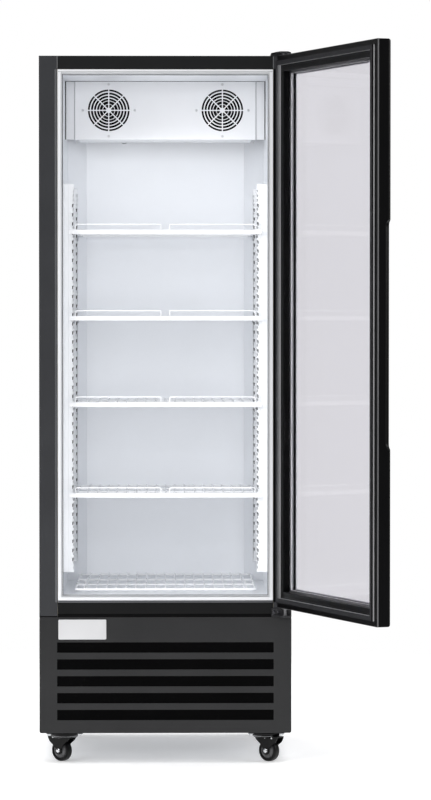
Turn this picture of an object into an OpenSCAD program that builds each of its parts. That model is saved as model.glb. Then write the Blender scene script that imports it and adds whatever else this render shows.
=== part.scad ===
// Upright display refrigerator with one glass door, wire shelves and a bottom-mounted cooling unit.
// Millimetres. X to the right, Y towards the back, Z up, origin on the floor below the cabinet's middle.

/* [Cabinet] */
// Width over the side panels
cab_w = 690; // [640:5:760]
// Depth of the cabinet without its door
cab_d = 720; // [680:5:800]
// Height of the insulated box, from the joint above the base panel to the top
box_h = 1534; // [1500:5:1600]
// Height of the base section that holds the cooling unit
base_h = 318; // [310:2:360]
// Clearance between the floor and the base
floor_gap = 84; // [84:1:96]
// Sheet steel thickness
sheet = 1; // [0.8:0.1:1.4]
// Width of the front flange of each side panel
stile_w = 50; // [44:1:56]
// Height of the front rail above the opening
top_rail_h = 36; // [32:1:44]
// Height of the front rail below the opening
low_rail_h = 45; // [42:1:50]
// Width of the white breaker strip around the opening
breaker_w = 13; // [12:1:18]
// Depth of the breaker strip
breaker_d = 14; // [12:1:18]
// Thickness of the insulated rear wall
rear_wall = 60; // [55:1:70]
// Liner thickness
liner_t = 1; // [0.8:0.1:1.4]
// Sideways width of the slanted rear corners of the liner
corner_w = 53; // [40:1:56]
// Depth of the slanted rear corners of the liner
corner_d = 90; // [70:1:100]

/* [Base panel] */
// Number of air slots
slot_count = 5; // [3:1:6]
// Height of one air slot
slot_h = 28.4; // [20:0.2:32]
// Distance from slot to slot
slot_pitch = 46.3; // [40:0.1:48]
// Plain border to the left and right of the slots
slot_margin = 48.5; // [40:0.5:80]
// Plain border below the lowest slot
slot_bottom = 35.4; // [30:0.2:50]
// Depth of the folded edge of the base panel
panel_fold = 16; // [12:1:20]
// Thickness of the air filter behind the slots
filter_t = 8; // [6:0.5:12]
// Width of the air filter's rim
filter_rim = 9; // [6:1:10]
// Corner radius of the base panel
panel_r = 6; // [3:0.5:9]

/* [Door] */
// Distance between the cabinet front and the door frame, filled by the gasket
door_gap = 10; // [8:0.5:12]
// Thickness of the door frame
door_t = 40; // [38:1:46]
// Height of the door's lower edge above the base joint
door_rise = 28; // [26:1:32]
// Drop of the door's upper edge below the cabinet top
door_drop = 1; // [0.5:0.5:4]
// Solid part of the frame outside the glass pocket
frame_w = 32; // [30:1:36]
// Width of the outer lip that covers the glass edge
lip_w = 50; // [48:1:56]
// Thickness of the outer lip
lip_t = 3; // [2:0.5:4]
// Distance from the door edge to the inner edge of the glazing bead
bead_w = 45; // [42:1:47]
// Rounding of the outer corner of the frame profile
frame_r = 10; // [8:1:12]
// Glass thickness
glass_t = 4; // [3:0.5:5]
// Space between the panes
pane_gap = 12; // [9:1:14]
// Overlap of the glass with the frame, measured from its solid part
glass_inset = 3; // [2:0.5:4]
// Distance from the door edge to the outer edge of the gasket
gasket_in = 15; // [14.5:0.5:16]
// Width of the gasket
gasket_w = 12; // [10:0.5:14]
// Clearance of the closed gasket from the cabinet
gasket_gap = 0.4; // [0.3:0.05:0.5]
// Distance of the hinge axis from the cabinet side
pivot_in = 18.5; // [17.5:0.5:19]
// Distance of the hinge axis in front of the cabinet
pivot_out = 26; // [25.5:0.5:27]
// Angle to which the door stands open
door_angle = 110; // [0:1:118]
// Length of the finger scoop in the latch stile
scoop_h = 558; // [400:1:700]
// Height of the middle of the scoop above the base joint
scoop_z = 776; // [700:1:850]
// Radius of the finger scoop about the outer edge
scoop_r = 17; // [12:0.5:20]

/* [Hinges] */
// Diameter of the hinge pins
pin_d = 8; // [6:0.5:9]
// Outer diameter of the nylon bushes
bush_d = 14; // [12:0.5:15]
// Radial clearance of a pin in its bush
run_gap = 0.05; // [0.03:0.01:0.08]
// Length of a pin inside the door
pin_in_door = 16; // [12:1:20]
// Thickness of the hinge plates
hinge_t = 5; // [4:0.5:6]
// Width of the hinge plates
hinge_w = 53; // [48:1:56]

/* [Shelves] */
// Height of the first shelf's front bar above the base joint, counted from the top
shelf_z1 = 1055.5; // [1043:12.5:1068]
// Height of the second shelf's front bar
shelf_z2 = 818; // [793:12.5:843]
// Height of the third shelf's front bar
shelf_z3 = 580.5; // [555.5:12.5:605.5]
// Height of the fourth shelf's front bar
shelf_z4 = 330.5; // [305.5:12.5:355.5]
// Height of the floor rack above the liner floor
rack_h = 21; // [18:1:30]
// Air gap between the shelves and the rear wall
shelf_back = 49; // [45:1:95]
// Distance of the shelf front from the cabinet front
shelf_front = 66; // [60:1:80]
// Height of the front bar
bar_h = 12; // [10:0.5:14]
// Thickness of the front bar
bar_t = 3; // [2:0.5:4]
// Diameter of the frame wires
wire_d = 6; // [5:0.5:7]
// Diameter of the deck wires
deck_d = 3.2; // [2.6:0.2:4]
// Distance between deck wires
deck_pitch = 27; // [24:1:40]
// Height of the front stop above the bar
stop_h = 15; // [10:1:20]
// Gap between the two halves of the front stop
stop_gap = 24; // [16:1:40]

/* [Shelf standards] */
// Distance over which the standards stand out from the wall
post_out = 30; // [28:1:34]
// Depth of the foot of a standard
post_foot = 15; // [12:1:18]
// Width of the foot
post_foot_w = 34; // [30:1:40]
// Width of the slotted channel
post_w = 24; // [20:1:26]
// Sheet thickness of the standards
post_t = 1.2; // [1:0.1:1.5]
// Distance from slot to slot
post_pitch = 12.5; // [12.5:2.5:20]
// Height of one slot
post_slot = 6.5; // [5:0.5:8]
// Lower end of the standards above the base joint
post_z = 118; // [100:1:140]
// Length of the standards
post_h = 1070; // [1000:10:1100]
// Distance of the front standards from the cabinet front
post_front = 98; // [94:1:110]
// Distance of the rear standards from the cabinet front
post_rear = 535; // [500:1:545]

/* [Evaporator] */
// Gap between the cover and each side wall
evap_side = 27; // [15:1:32]
// Depth of the coil
coil_depth = 110; // [90:5:130]
// Number of coil fins
coil_fins = 30; // [20:2:36]
// Thickness of the fins of both coils
fin_t = 0.8; // [0.5:0.1:1]
// Height of the cover
evap_h = 164; // [160:1:180]
// Distance of the cover from the cabinet front
evap_front = 320; // [300:5:340]
// Distance of each fan from the middle
fan_x = 160; // [130:1:165]
// Size of the square fan frame
fan_size = 116; // [112:1:118]
// Depth of a fan
fan_d = 25; // [25:1:30]
// Radius of the fan bore
fan_bore = 55.5; // [54:0.5:56]
// Clearance of the blades in the bore
blade_gap = 1.5; // [1:0.5:3]
// Number of blades
blades = 7; // [5:1:9]
// Number of slot rings in a fan grille
grille_rings = 6; // [4:1:6]
// Distance from ring to ring
grille_pitch = 8.8; // [8:0.2:9]
// Width of a slot ring
grille_slot = 5.4; // [4:0.2:6]
// Width of the outermost slot ring
grille_rim_slot = 3.2; // [2.4:0.2:5]
// Width of a grille spoke
grille_spoke = 4; // [3:0.5:8]

/* [Casters] */
// Diameter of the caster wheels
wheel_d = 60; // [56:1:62]
// Width of the wheels
wheel_w = 22; // [20:1:24]
// Distance of the swivel axes from the cabinet's sides
caster_side = 68; // [60:1:85]
// Distance of the swivel axes from the front and the back
caster_y = 60; // [56:1:80]
// Distance between swivel axis and axle
caster_trail = 11; // [8:1:16]
// Diameter of the axles
axle_d = 8; // [6:0.5:9]
// Thickness of a fork leg
fork_t = 3; // [2.5:0.5:3.5]
// Largest diameter of the swivel bearing's cup
race_d = 94; // [86:1:96]
// Diameter of the fork's head
fork_d = 76; // [70:1:78]
// Width of the mounting plate
plate_w = 100; // [96:1:104]
// Length of the mounting plate
plate_l = 84; // [80:1:84]

/* [Cooling unit] */
// Diameter of the compressor shell
comp_d = 168; // [150:2:180]
// Height of the compressor shell
comp_h = 178; // [160:2:190]
// Width of the condenser
cond_w = 340; // [300:5:350]
// Height of the condenser
cond_h = 236; // [220:2:240]
// Depth of the condenser
cond_d = 58; // [44:2:60]
// Number of condenser fins
cond_fins = 36; // [24:2:40]
// Number of condenser tube rows, an even number
cond_rows = 6; // [4:2:8]
// Radius of the condenser fan
cfan_r = 100; // [90:1:104]
// Number of condenser fan blades
cfan_blades = 5; // [4:1:7]
// Diameter of the refrigerant pipes
pipe_d = 8; // [6:0.5:10]

/* [Hidden] */
$fn = 48;

// Main planes
base_z = floor_gap;
deck_z = base_z + base_h;
top_z = deck_z + box_h;
half_w = cab_w / 2;
front_y = -cab_d / 2;
back_y = cab_d / 2;
seam = 0.3;
eps = 0.01;

// Opening and cavity
open_x = half_w - stile_w;
open_z0 = deck_z + low_rail_h;
open_z1 = top_z - top_rail_h;
cav_x = open_x - breaker_w;
cav_z0 = open_z0 + breaker_w;
cav_z1 = open_z1 - breaker_w;
cav_y0 = front_y + breaker_d;
cav_y1 = back_y - rear_wall;
groove_w = 3;
back_fold = 15;

// Door, given in its closed place
door_y1 = front_y - door_gap;
door_y0 = door_y1 - door_t;
door_z0 = deck_z + door_rise;
door_z1 = top_z - door_drop;
pivot_x = half_w - pivot_in;
pivot_y = front_y - pivot_out;
pane_v1 = lip_t + glass_t;
pane_v2 = pane_v1 + pane_gap;
pane_v3 = pane_v2 + glass_t;
barb_w = 4;
barb_d = 5;

// Shelf standards and shelves
shelf_z = [shelf_z1, shelf_z2, shelf_z3, shelf_z4];
post_x = cav_x - post_out;
post_z0 = deck_z + post_z;
post_y = [front_y + post_front, front_y + post_rear];
shelf_y0 = front_y + shelf_front;
shelf_y1 = cav_y1 - shelf_back;
shelf_d = shelf_y1 - shelf_y0;
side_wire_x = post_x - wire_d / 2 - 2;
bar_x = cav_x - post_foot - 1;

// Evaporator
evap_w = 2 * (cav_x - evap_side);
evap_y = front_y + evap_front;
evap_z0 = cav_z1 - evap_h;
fan_z = evap_z0 + evap_h / 2;
fan_y = evap_y + sheet + seam;
hub_r = 20;
cup_t = 1.6;
stator_r = 15;
shaft_r = 2.5;
coil_y0 = fan_y + fan_d + 18;
coil_y1 = coil_y0 + coil_depth;
coil_x = evap_w / 2 - 46;
coil_z0 = evap_z0 + 34;
coil_z1 = cav_z1 - 16;
coil_rows = 3;
coil_cols = 4;
coil_a = [-coil_x, coil_y0, coil_z0];
coil_b = [coil_x, coil_y1, coil_z1];
coil_tip_x = coil_x + serpentine_bend(coil_a, coil_b, coil_rows, coil_cols) + 5;
coil_out_y = tube_at(coil_y0, coil_y1, coil_cols, coil_cols - 1);
pan_t = 1.5;
pan_z = evap_z0 + sheet + 2;
pan_h = 20;
pan_x = evap_w / 2 - 10;

// Cooling unit
deck_t = 2;
deck_top = base_z + deck_t;
comp_x = 150;
comp_y = 140;
grommet_h = 14;
comp_z0 = deck_top + grommet_h + 3;
comp_port_z = comp_z0 + comp_h + 6;
foot_x = 92;
foot_y = 62;
cond_x = -110;
cond_y0 = front_y + panel_fold + 22;
cond_y1 = cond_y0 + cond_d;
cond_z0 = deck_top + 4;
cond_a = [cond_x - cond_w / 2, cond_y0, cond_z0];
cond_b = [cond_x + cond_w / 2, cond_y1, cond_z0 + cond_h];
cond_tip_x = cond_b[0] + serpentine_bend(cond_a, cond_b, cond_rows, 2) + 5;
cond_in_z = tube_at(cond_a[2], cond_b[2], cond_rows, cond_rows - 1);
cond_out_z = tube_at(cond_a[2], cond_b[2], cond_rows, 0);
cfan_z = cond_z0 + cond_h / 2;
shroud_d = 26;
cfan_y = cond_y1 + 8;
cfan_d = 24;
chub_r = 32;
motor_r = 30;
motor_l = 46;
drier_x = cond_x + cond_w / 2 + 40;
drier_y = cond_y1 + 30;
drier_l = 100;
tray_w = 240;
tray_d = 180;
tray_h = 46;
tray_t = 3;
tray_x = tray_w / 2 + 50 - half_w;
tray_y = back_y - tray_d / 2 - 15;
gland_x = half_w - 90;
gland_z = base_z + 72;
gland_d = 14;
chase_y = cav_y1 + rear_wall / 2;
chase_r = pipe_d / 2 + 3;
suction_x = comp_x - 40;
drain_x = -120;
drain_r = 8;
port_z = tube_at(coil_z0, coil_z1, coil_rows, coil_rows - 1);
drain_z = pan_z + pan_t + drain_r;

// Casters
caster_x = half_w - caster_side;
axle_z = wheel_d / 2;
race_h = 9;
race_z = base_z - 4 - race_h;
fork_gap = wheel_w / 2 + 1.2;

// General shapes

// Moves a part from its closed place in the door to the open door
module opened() {
    translate([pivot_x, pivot_y, 0]) rotate([0, 0, door_angle])
        translate([-pivot_x, -pivot_y, 0]) children();
}

// One bar of a mitred frame: children is its section, with x inward from the outer edge and y backward
module frame_bar(side, hw, z0, z1, y0, reach) {
    w = 2 * hw;
    intersection() {
        if (side == "right") translate([hw, y0, z0]) mirror([1, 0, 0]) linear_extrude(z1 - z0) children();
        else if (side == "left") translate([-hw, y0, z0]) linear_extrude(z1 - z0) children();
        else if (side == "top") translate([-hw, y0, z1]) rotate([0, 90, 0]) linear_extrude(w) children();
        else translate([-hw, y0, z0]) mirror([0, 0, 1]) rotate([0, 90, 0]) linear_extrude(w) children();
        translate([0, y0, 0]) rotate([90, 0, 0]) linear_extrude(cab_d, center = true) polygon(
            side == "right" ? [[hw, z0], [hw, z1], [hw - reach, z1 - reach], [hw - reach, z0 + reach]] :
            side == "left" ? [[-hw, z0], [-hw, z1], [reach - hw, z1 - reach], [reach - hw, z0 + reach]] :
            side == "top" ? [[-hw, z1], [hw, z1], [hw - reach, z1 - reach], [reach - hw, z1 - reach]] :
            [[-hw, z0], [hw, z0], [hw - reach, z0 + reach], [reach - hw, z0 + reach]]);
    }
}

// All four bars of a mitred frame in one piece
module frame_ring(hw, z0, z1, y0, reach) {
    for (side = ["left", "right", "top", "bottom"]) frame_bar(side, hw, z0, z1, y0, reach) children();
}

// A box between two corners
module block(a, b) {
    translate(a) cube([b[0] - a[0], b[1] - a[1], b[2] - a[2]]);
}

// Rectangle with round corners, exact arcs
module round_rect(w, h, r) {
    translate([r, 0]) square([w - 2 * r, h]);
    translate([0, r]) square([w, h - 2 * r]);
    for (x = [r, w - r], y = [r, h - r]) translate([x, y]) circle(r);
}

// Length that a bend of radius r takes from both of its legs, at point i of a route
function bend_cut(p, i, r) = i == 0 || i == len(p) - 1 ? 0 : r * tan(turn(p, i) / 2);

// Angle of the turn at point i of a route
function turn(p, i) = acos(max(-1, min(1, unit(p[i] - p[i - 1]) * unit(p[i + 1] - p[i]))));

function unit(v) = v / norm(v);

// Turns +Z along the direction v
module along(v) {
    rotate([0, acos(v[2] / norm(v)), atan2(v[1], v[0])]) children();
}

// The direction w seen from a frame whose Z lies along v
function seen_along(v, w) =
    let (b = acos(v[2] / norm(v)), c = atan2(v[1], v[0]), x = w[0] * cos(c) + w[1] * sin(c))
    [x * cos(b) - w[2] * sin(b), w[1] * cos(c) - w[0] * sin(c)];

// Straight wire between two points
module wire(a, b, d, fine = 48) {
    translate(a) along(b - a) cylinder(d = d, h = norm(b - a), $fn = fine);
}

// Wire or pipe along a list of points, bent with radius r at each point between its ends
module run(p, d, r, fine = 48) {
    for (i = [0 : len(p) - 2]) {
        u = unit(p[i + 1] - p[i]);
        wire(p[i] + u * bend_cut(p, i, r), p[i + 1] - u * bend_cut(p, i + 1, r), d, fine);
    }
    for (i = [1 : len(p) - 2]) {
        u = unit(p[i] - p[i - 1]);
        side = seen_along(u, p[i + 1] - p[i]);
        translate(p[i] - u * bend_cut(p, i, r)) along(u) rotate([0, 0, atan2(side[1], side[0])])
            translate([r, 0, 0]) mirror([1, 0, 0]) rotate([90, 0, 0])
                rotate_extrude(angle = turn(p, i), $fn = fine) translate([r, 0]) circle(d = d);
    }
}

// Cabinet

// Section of the cavity from above, grown outward by the liner
module cavity_section(grow) {
    x = cav_x + grow;
    y = cav_y1 + grow;
    polygon([[-x, cav_y0], [x, cav_y0], [x, cav_y1 - corner_d], [x - corner_w, y],
        [corner_w - x, y], [-x, cav_y1 - corner_d]]);
}

// Openings in the rear wall and floor for the suction pipe and the drain tube
module rear_chases(reach) {
    for (p = [[suction_x, chase_r, port_z], [drain_x, drain_r + 2, drain_z]]) {
        translate([p[0], chase_y, deck_z - 20]) cylinder(r = p[1], h = p[2] - deck_z + 20);
        translate([p[0], chase_y, p[2]]) sphere(r = p[1]);
        translate([p[0], chase_y, p[2]]) rotate([90, 0, 0]) cylinder(r = p[1], h = reach);
    }
}

module side_panel() {
    color("#26282b") union() {
        block([half_w - sheet, front_y, deck_z], [half_w, back_y - sheet, top_z]);
        block([open_x, front_y, deck_z], [half_w, front_y + sheet, top_z]);
        block([open_x, front_y, open_z0], [open_x + sheet, front_y + breaker_d - 2, open_z1]);
        block([half_w - back_fold, back_y - 2 * sheet, deck_z + sheet],
            [half_w, back_y - sheet, top_z - sheet]);
        block([half_w - sheet, front_y + panel_fold + seam, base_z], [half_w, back_y, deck_z + eps]);
        block([half_w - back_fold, back_y - sheet, base_z], [half_w, back_y, deck_z + eps]);
    }
}

module side_panel_left() {
    mirror([1, 0, 0]) side_panel();
}

module side_panel_right() {
    side_panel();
}

module top_panel() {
    color("#26282b") union() {
        block([sheet - half_w, front_y + sheet, top_z - sheet], [half_w - sheet, back_y - sheet, top_z]);
        block([seam - open_x, front_y, open_z1], [open_x - seam, front_y + sheet, top_z]);
        block([seam - open_x, front_y, open_z1], [open_x - seam, front_y + breaker_d - 2, open_z1 + sheet]);
    }
}

module rear_panel() {
    color("#3a3c3f") block([-half_w, back_y - sheet, deck_z + seam], [half_w, back_y, top_z]);
}

module floor_panel() {
    lip = 7;
    color("#1b1c1e") difference() {
        union() {
            block([sheet - half_w, front_y + sheet, deck_z],
                [half_w - sheet, back_y - sheet, deck_z + sheet]);
            block([seam - open_x, front_y, deck_z], [open_x - seam, front_y + sheet, open_z0 - lip]);
            block([seam - open_x, front_y + sheet, open_z0 - lip - sheet],
                [open_x - seam, front_y + 2 * sheet, open_z0]);
            block([seam - open_x, front_y + sheet, open_z0 - sheet],
                [open_x - seam, front_y + breaker_d - 2, open_z0]);
        }
        rear_chases(1);
    }
}

module insulation() {
    color("#e8d9a0") difference() {
        union() {
            block([sheet - half_w, front_y + 2 * sheet, deck_z + sheet],
                [half_w - sheet, back_y - 2 * sheet, top_z - sheet]);
            block([back_fold - half_w, back_y - 3 * sheet, deck_z + sheet],
                [half_w - back_fold, back_y - sheet, top_z - sheet]);
        }
        translate([0, 0, cav_z0 - liner_t]) linear_extrude(cav_z1 - cav_z0 + 2 * liner_t)
            cavity_section(liner_t);
        block([-open_x - sheet, front_y, open_z0 - sheet], [open_x + sheet, cav_y0, open_z1 + sheet]);
        rear_chases(rear_wall);
    }
}

module inner_liner() {
    color("#eef0f4") difference() {
        translate([0, 0, cav_z0 - liner_t]) linear_extrude(cav_z1 - cav_z0 + 2 * liner_t)
            cavity_section(liner_t);
        translate([0, -eps, cav_z0]) linear_extrude(cav_z1 - cav_z0) cavity_section(0);
        rear_chases(rear_wall);
    }
}

module breaker_strip() {
    w = breaker_w - sheet;
    color("#f2f3f6")
        frame_ring(open_x - sheet, open_z0 + sheet, open_z1 - sheet, front_y + 0.5, breaker_w + 20)
        difference() {
            square([w, breaker_d - 0.5]);
            translate([w - groove_w, -1]) square([groove_w - 1, 8]);
            translate([2, 2]) square([w - groove_w - 4, breaker_d]);
        }
}

// Shelf standards and shelves

module standard_section() {
    difference() {
        union() {
            translate([-post_foot_w / 2, 0]) square([post_foot_w, post_foot]);
            translate([-post_w / 2, 0]) square([post_w, post_out]);
        }
        translate([post_t - post_foot_w / 2, -1])
            square([post_foot_w - 2 * post_t, post_foot + 1 - post_t]);
        translate([post_t - post_w / 2, -1]) square([post_w - 2 * post_t, post_out + 1 - post_t]);
    }
}

module standard(y) {
    translate([cav_x, y, post_z0]) difference() {
        rotate([0, 0, 90]) linear_extrude(post_h) standard_section();
        for (z = [post_pitch : post_pitch : post_h - post_pitch])
            translate([-post_out - 1, -post_w / 2 - 1, z - post_slot / 2])
                cube([post_t + 3, post_w / 2 + 4, post_slot]);
    }
}

module shelf_standards_right() {
    color("#f4f5f8") for (y = post_y) standard(y);
}

module shelf_standards_left() {
    color("#f4f5f8") mirror([1, 0, 0]) for (y = post_y) standard(y);
}

// Centre height of the frame wires of shelf i
function shelf_wire_z(i) = deck_z + shelf_z[i] + bar_h / 2 - deck_d - wire_d / 2 + 0.4;

// One clip: a hook through the slot and a ledge below the shelf's side wire
module clip(y, z) {
    color("#c9cdd2") translate([post_x, y, z - wire_d / 2 - 0.2]) union() {
        translate([-14, -8, -2]) cube([13.8, 16, 2]);
        translate([-2, -8, -12]) cube([1.8, 16, 12]);
        translate([-14, -8, -2]) cube([1.5, 16, 5]);
    }
}

module shelf_clips() {
    for (i = [0 : len(shelf_z) - 1], y = post_y, m = [0, 1]) mirror([m, 0, 0]) clip(y, shelf_wire_z(i));
}

// Deck wires and frame of a shelf, with the frame wires' centre at height z
module deck(z, y0) {
    n = floor(2 * (side_wire_x - 6) / deck_pitch / 2);
    top = z + wire_d / 2 + deck_d / 2 - 0.4;
    for (m = [0, 1]) mirror([m, 0, 0]) run([[0, y0, z], [side_wire_x, y0, z], [side_wire_x, shelf_y1, z],
        [0, shelf_y1, z]], wire_d, 14);
    for (y = [y0 + shelf_d / 3, y0 + 2 * shelf_d / 3])
        wire([wire_d / 4 - side_wire_x, y, z], [side_wire_x - wire_d / 4, y, z], wire_d - 1);
    for (i = [-n : n]) translate([i * deck_pitch, y0 - wire_d / 2, top]) rotate([-90, 0, 0])
        cylinder(d = deck_d, h = shelf_y1 - y0 + wire_d);
}

module shelf(i) {
    z = shelf_wire_z(i);
    bar_z = deck_z + shelf_z[i];
    frame_y = shelf_y0 + bar_t + wire_d / 2 - 0.4;
    stop_y = shelf_y0 + bar_t + deck_d / 2 - 0.3;
    stop_z = bar_z + bar_h / 2 + stop_h;
    color("#f4f5f8") union() {
        deck(z, frame_y);
        translate([-bar_x, shelf_y0 + bar_t, bar_z - bar_h / 2]) rotate([90, 0, 0]) linear_extrude(bar_t)
            round_rect(2 * bar_x, bar_h, 3);
        for (m = [0, 1]) mirror([m, 0, 0]) run([[side_wire_x, stop_y, bar_z], [side_wire_x, stop_y, stop_z],
            [stop_gap / 2, stop_y, stop_z], [stop_gap / 2, stop_y, bar_z]], deck_d, 4);
    }
}

module shelf_1() {
    shelf(0);
}

module shelf_2() {
    shelf(1);
}

module shelf_3() {
    shelf(2);
}

module shelf_4() {
    shelf(3);
}

module floor_rack() {
    z = cav_z0 + rack_h - deck_d - wire_d / 2 + 0.4;
    y0 = cav_y0 + 26;
    color("#f4f5f8") union() {
        deck(z, y0);
        for (x = [-1, 0, 1], y = [y0 + shelf_d / 3, y0 + 2 * shelf_d / 3])
            translate([x * (side_wire_x - 20), y, cav_z0 + 0.3]) cylinder(d = wire_d - 1, h = z - cav_z0);
    }
}

// Evaporator

// Slots of one fan grille, cut along Y
module grille_slots() {
    rotate([90, 0, 0]) difference() {
        union() for (k = [0 : grille_rings - 1]) {
            r = fan_bore + 0.5 - k * grille_pitch;
            slot = k == 0 ? grille_rim_slot : grille_slot;
            difference() {
                cylinder(r = r + slot / 2, h = 12, center = true, $fn = 96);
                cylinder(r = r - slot / 2, h = 14, center = true, $fn = 96);
            }
        }
        for (a = [0 : 45 : 135]) rotate(a) cube([3 * fan_bore, grille_spoke, 16], center = true);
    }
}

module evaporator_cover() {
    x = evap_w / 2;
    wing_in = 5;
    color("#f0f1f5") difference() {
        union() {
            block([-x, evap_y, evap_z0], [x, evap_y + sheet, cav_z1]);
            for (m = [0, 1]) mirror([m, 0, 0])
                block([x - sheet, evap_y, evap_z0], [x, cav_y1 - corner_d + 20, cav_z1]);
            block([-x, evap_y, evap_z0], [x, coil_y0 - 12, evap_z0 + sheet]);
            for (m = [0, 1]) mirror([m, 0, 0]) {
                block([x - 16, evap_y, cav_z1 - sheet], [x, cav_y1 - corner_d + 20, cav_z1]);
                block([x - sheet, evap_y + wing_in, evap_z0],
                    [cav_x - seam, evap_y + wing_in + sheet, cav_z1]);
            }
        }
        for (m = [0, 1]) mirror([m, 0, 0]) translate([fan_x, evap_y, fan_z]) grille_slots();
    }
}

module fan_frame() {
    s = fan_size / 2;
    rotate([-90, 0, 0]) union() {
        difference() {
            linear_extrude(fan_d) rotate(45) translate([-s, -s]) round_rect(fan_size, fan_size, 12);
            translate([0, 0, -1]) cylinder(r = fan_bore, h = fan_d + 2, $fn = 96);
        }
        translate([0, 0, fan_d - 3]) {
            cylinder(r = stator_r + 4, h = 3);
            for (a = [20 : 90 : 290]) rotate(a)
                translate([stator_r, -3, 0]) cube([fan_bore - stator_r + 1, 6, 3]);
        }
        translate([0, 0, 6]) cylinder(r = stator_r, h = fan_d - 8);
        translate([0, 0, 3.5]) cylinder(r = shaft_r, h = 3.5);
    }
}

module evaporator_fan_frames() {
    color("#17181a") for (x = [-fan_x, fan_x]) translate([x, fan_y, fan_z]) fan_frame();
}

// Cambered blades from radius r0 to r1, each an extruded arc that is tilted about its radius
module blade_set(count, r0, r1, chord, tilt, t) {
    bow = 1.6 * chord;
    intersection() {
        cylinder(r = r1, h = 4 * chord, center = true, $fn = 96);
        union() for (k = [0 : count - 1]) rotate(k * 360 / count) rotate([tilt, 0, 0])
            translate([r0 - 2, 0, 0]) rotate([0, 90, 0]) linear_extrude(r1 - r0 + 6) intersection() {
                translate([bow, 0]) difference() {
                    circle(bow + t / 2, $fn = 96);
                    circle(bow - t / 2, $fn = 96);
                }
                translate([-t, -chord / 2]) square([bow / 2, chord]);
            }
    }
}

module evaporator_rotor() {
    rotate([-90, 0, 0]) translate([0, 0, 2]) union() {
        difference() {
            cylinder(r = hub_r, h = fan_d - 7);
            translate([0, 0, cup_t + 1.6]) cylinder(r = hub_r - cup_t, h = fan_d);
            translate([0, 0, -1]) cylinder(r = shaft_r + run_gap, h = 10);
        }
        translate([0, 0, (fan_d - 7) / 2]) blade_set(blades, hub_r, fan_bore - blade_gap, 24, 38, 1.6);
    }
}

module evaporator_rotor_left() {
    color("#222427") translate([-fan_x, fan_y, fan_z]) evaporator_rotor();
}

module evaporator_rotor_right() {
    color("#222427") translate([fan_x, fan_y, fan_z]) evaporator_rotor();
}

// Spacing of a number of tubes between two planes, in whole millimetres, and the place of tube i
function tube_pitch(lo, hi, count) = floor((hi - lo) / count);
function tube_at(lo, hi, count, i) = (lo + hi) / 2 + (i - (count - 1) / 2) * tube_pitch(lo, hi, count);

// Fins and one serpentine tube of a heat exchanger between two corners, with both tube ends on the right
module fin_block(a, b, fins, rows, cols, tube_d) {
    step = (b[0] - a[0]) / (fins - 1);
    bend = serpentine_bend(a, b, rows, cols);
    ends = [b[0] + bend + 5, a[0] - bend - 5];
    for (i = [0 : fins - 1])
        translate([a[0] + i * step - fin_t / 2, a[1], a[2]]) cube([fin_t, b[1] - a[1], b[2] - a[2]]);
    run([for (k = [0 : rows * cols - 1], e = [0, 1])
        let (r = floor(k / cols), c = r % 2 == 0 ? k % cols : cols - 1 - k % cols)
        [ends[(k + e) % 2], tube_at(a[1], b[1], cols, c), tube_at(a[2], b[2], rows, r)]], tube_d, bend, 24);
}

// Bend radius of such a tube
function serpentine_bend(a, b, rows, cols) =
    floor(min(tube_pitch(a[1], b[1], cols), tube_pitch(a[2], b[2], rows)) / 2) - 1;

module evaporator_coil() {
    plate_t = 1.5;
    color("#b9bcc0") union() {
        fin_block(coil_a, coil_b, coil_fins, coil_rows, coil_cols, pipe_d);
        for (m = [0, 1]) mirror([m, 0, 0])
            block([coil_x, coil_y0 + 2, pan_z + pan_t + 0.2], [coil_x + plate_t, coil_y1 - 2, cav_z1 - 0.2]);
    }
}

module drain_pan() {
    y0 = coil_y0 - 8;
    y1 = cav_y1 - corner_d;
    hook = evap_w / 2 - sheet - 0.2;
    color("#d8dbe0") difference() {
        union() {
            block([-pan_x, y0, pan_z], [pan_x, y1, pan_z + pan_h]);
            block([-hook, y0 + 20, pan_z + pan_h - pan_t], [hook, y1 - 20, pan_z + pan_h]);
        }
        block([pan_t - pan_x, y0 + pan_t, pan_z + pan_t], [pan_x - pan_t, y1 - pan_t, pan_z + pan_h + 1]);
        translate([drain_x, y1 + 1, drain_z]) rotate([90, 0, 0]) cylinder(r = drain_r, h = pan_t + 2);
    }
}

module drain_tube() {
    bend = [drain_x, chase_y, drain_z];
    end = [drain_x, chase_y, deck_top + tray_h - 10];
    color("#d0d3d8") difference() {
        union() {
            translate([drain_x, cav_y1 - corner_d - pan_t - 3, drain_z]) rotate([-90, 0, 0])
                cylinder(r = drain_r - 0.3, h = chase_y - cav_y1 + corner_d + pan_t + 3);
            translate(bend) sphere(r = drain_r - 0.3);
            translate(end) cylinder(r = drain_r - 0.3, h = bend[2] - end[2]);
        }
        translate([drain_x, cav_y1 - corner_d - pan_t - 4, drain_z]) rotate([-90, 0, 0])
            cylinder(r = drain_r - 2, h = chase_y - cav_y1 + corner_d + pan_t + 4);
        translate(bend) sphere(r = drain_r - 2);
        translate([end[0], end[1], end[2] - 1]) cylinder(r = drain_r - 2, h = bend[2] - end[2] + 1);
    }
}

// Base and cooling unit

module machine_deck() {
    x = half_w - sheet;
    y0 = front_y + panel_fold + seam;
    y1 = back_y - 2 * sheet;
    color("#8d9196") difference() {
        block([-x, y0, base_z], [x, y1, base_z + 30]);
        block([deck_t - x, y0 + deck_t, deck_top], [x - deck_t, y1 - deck_t, base_z + 40]);
    }
}

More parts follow.
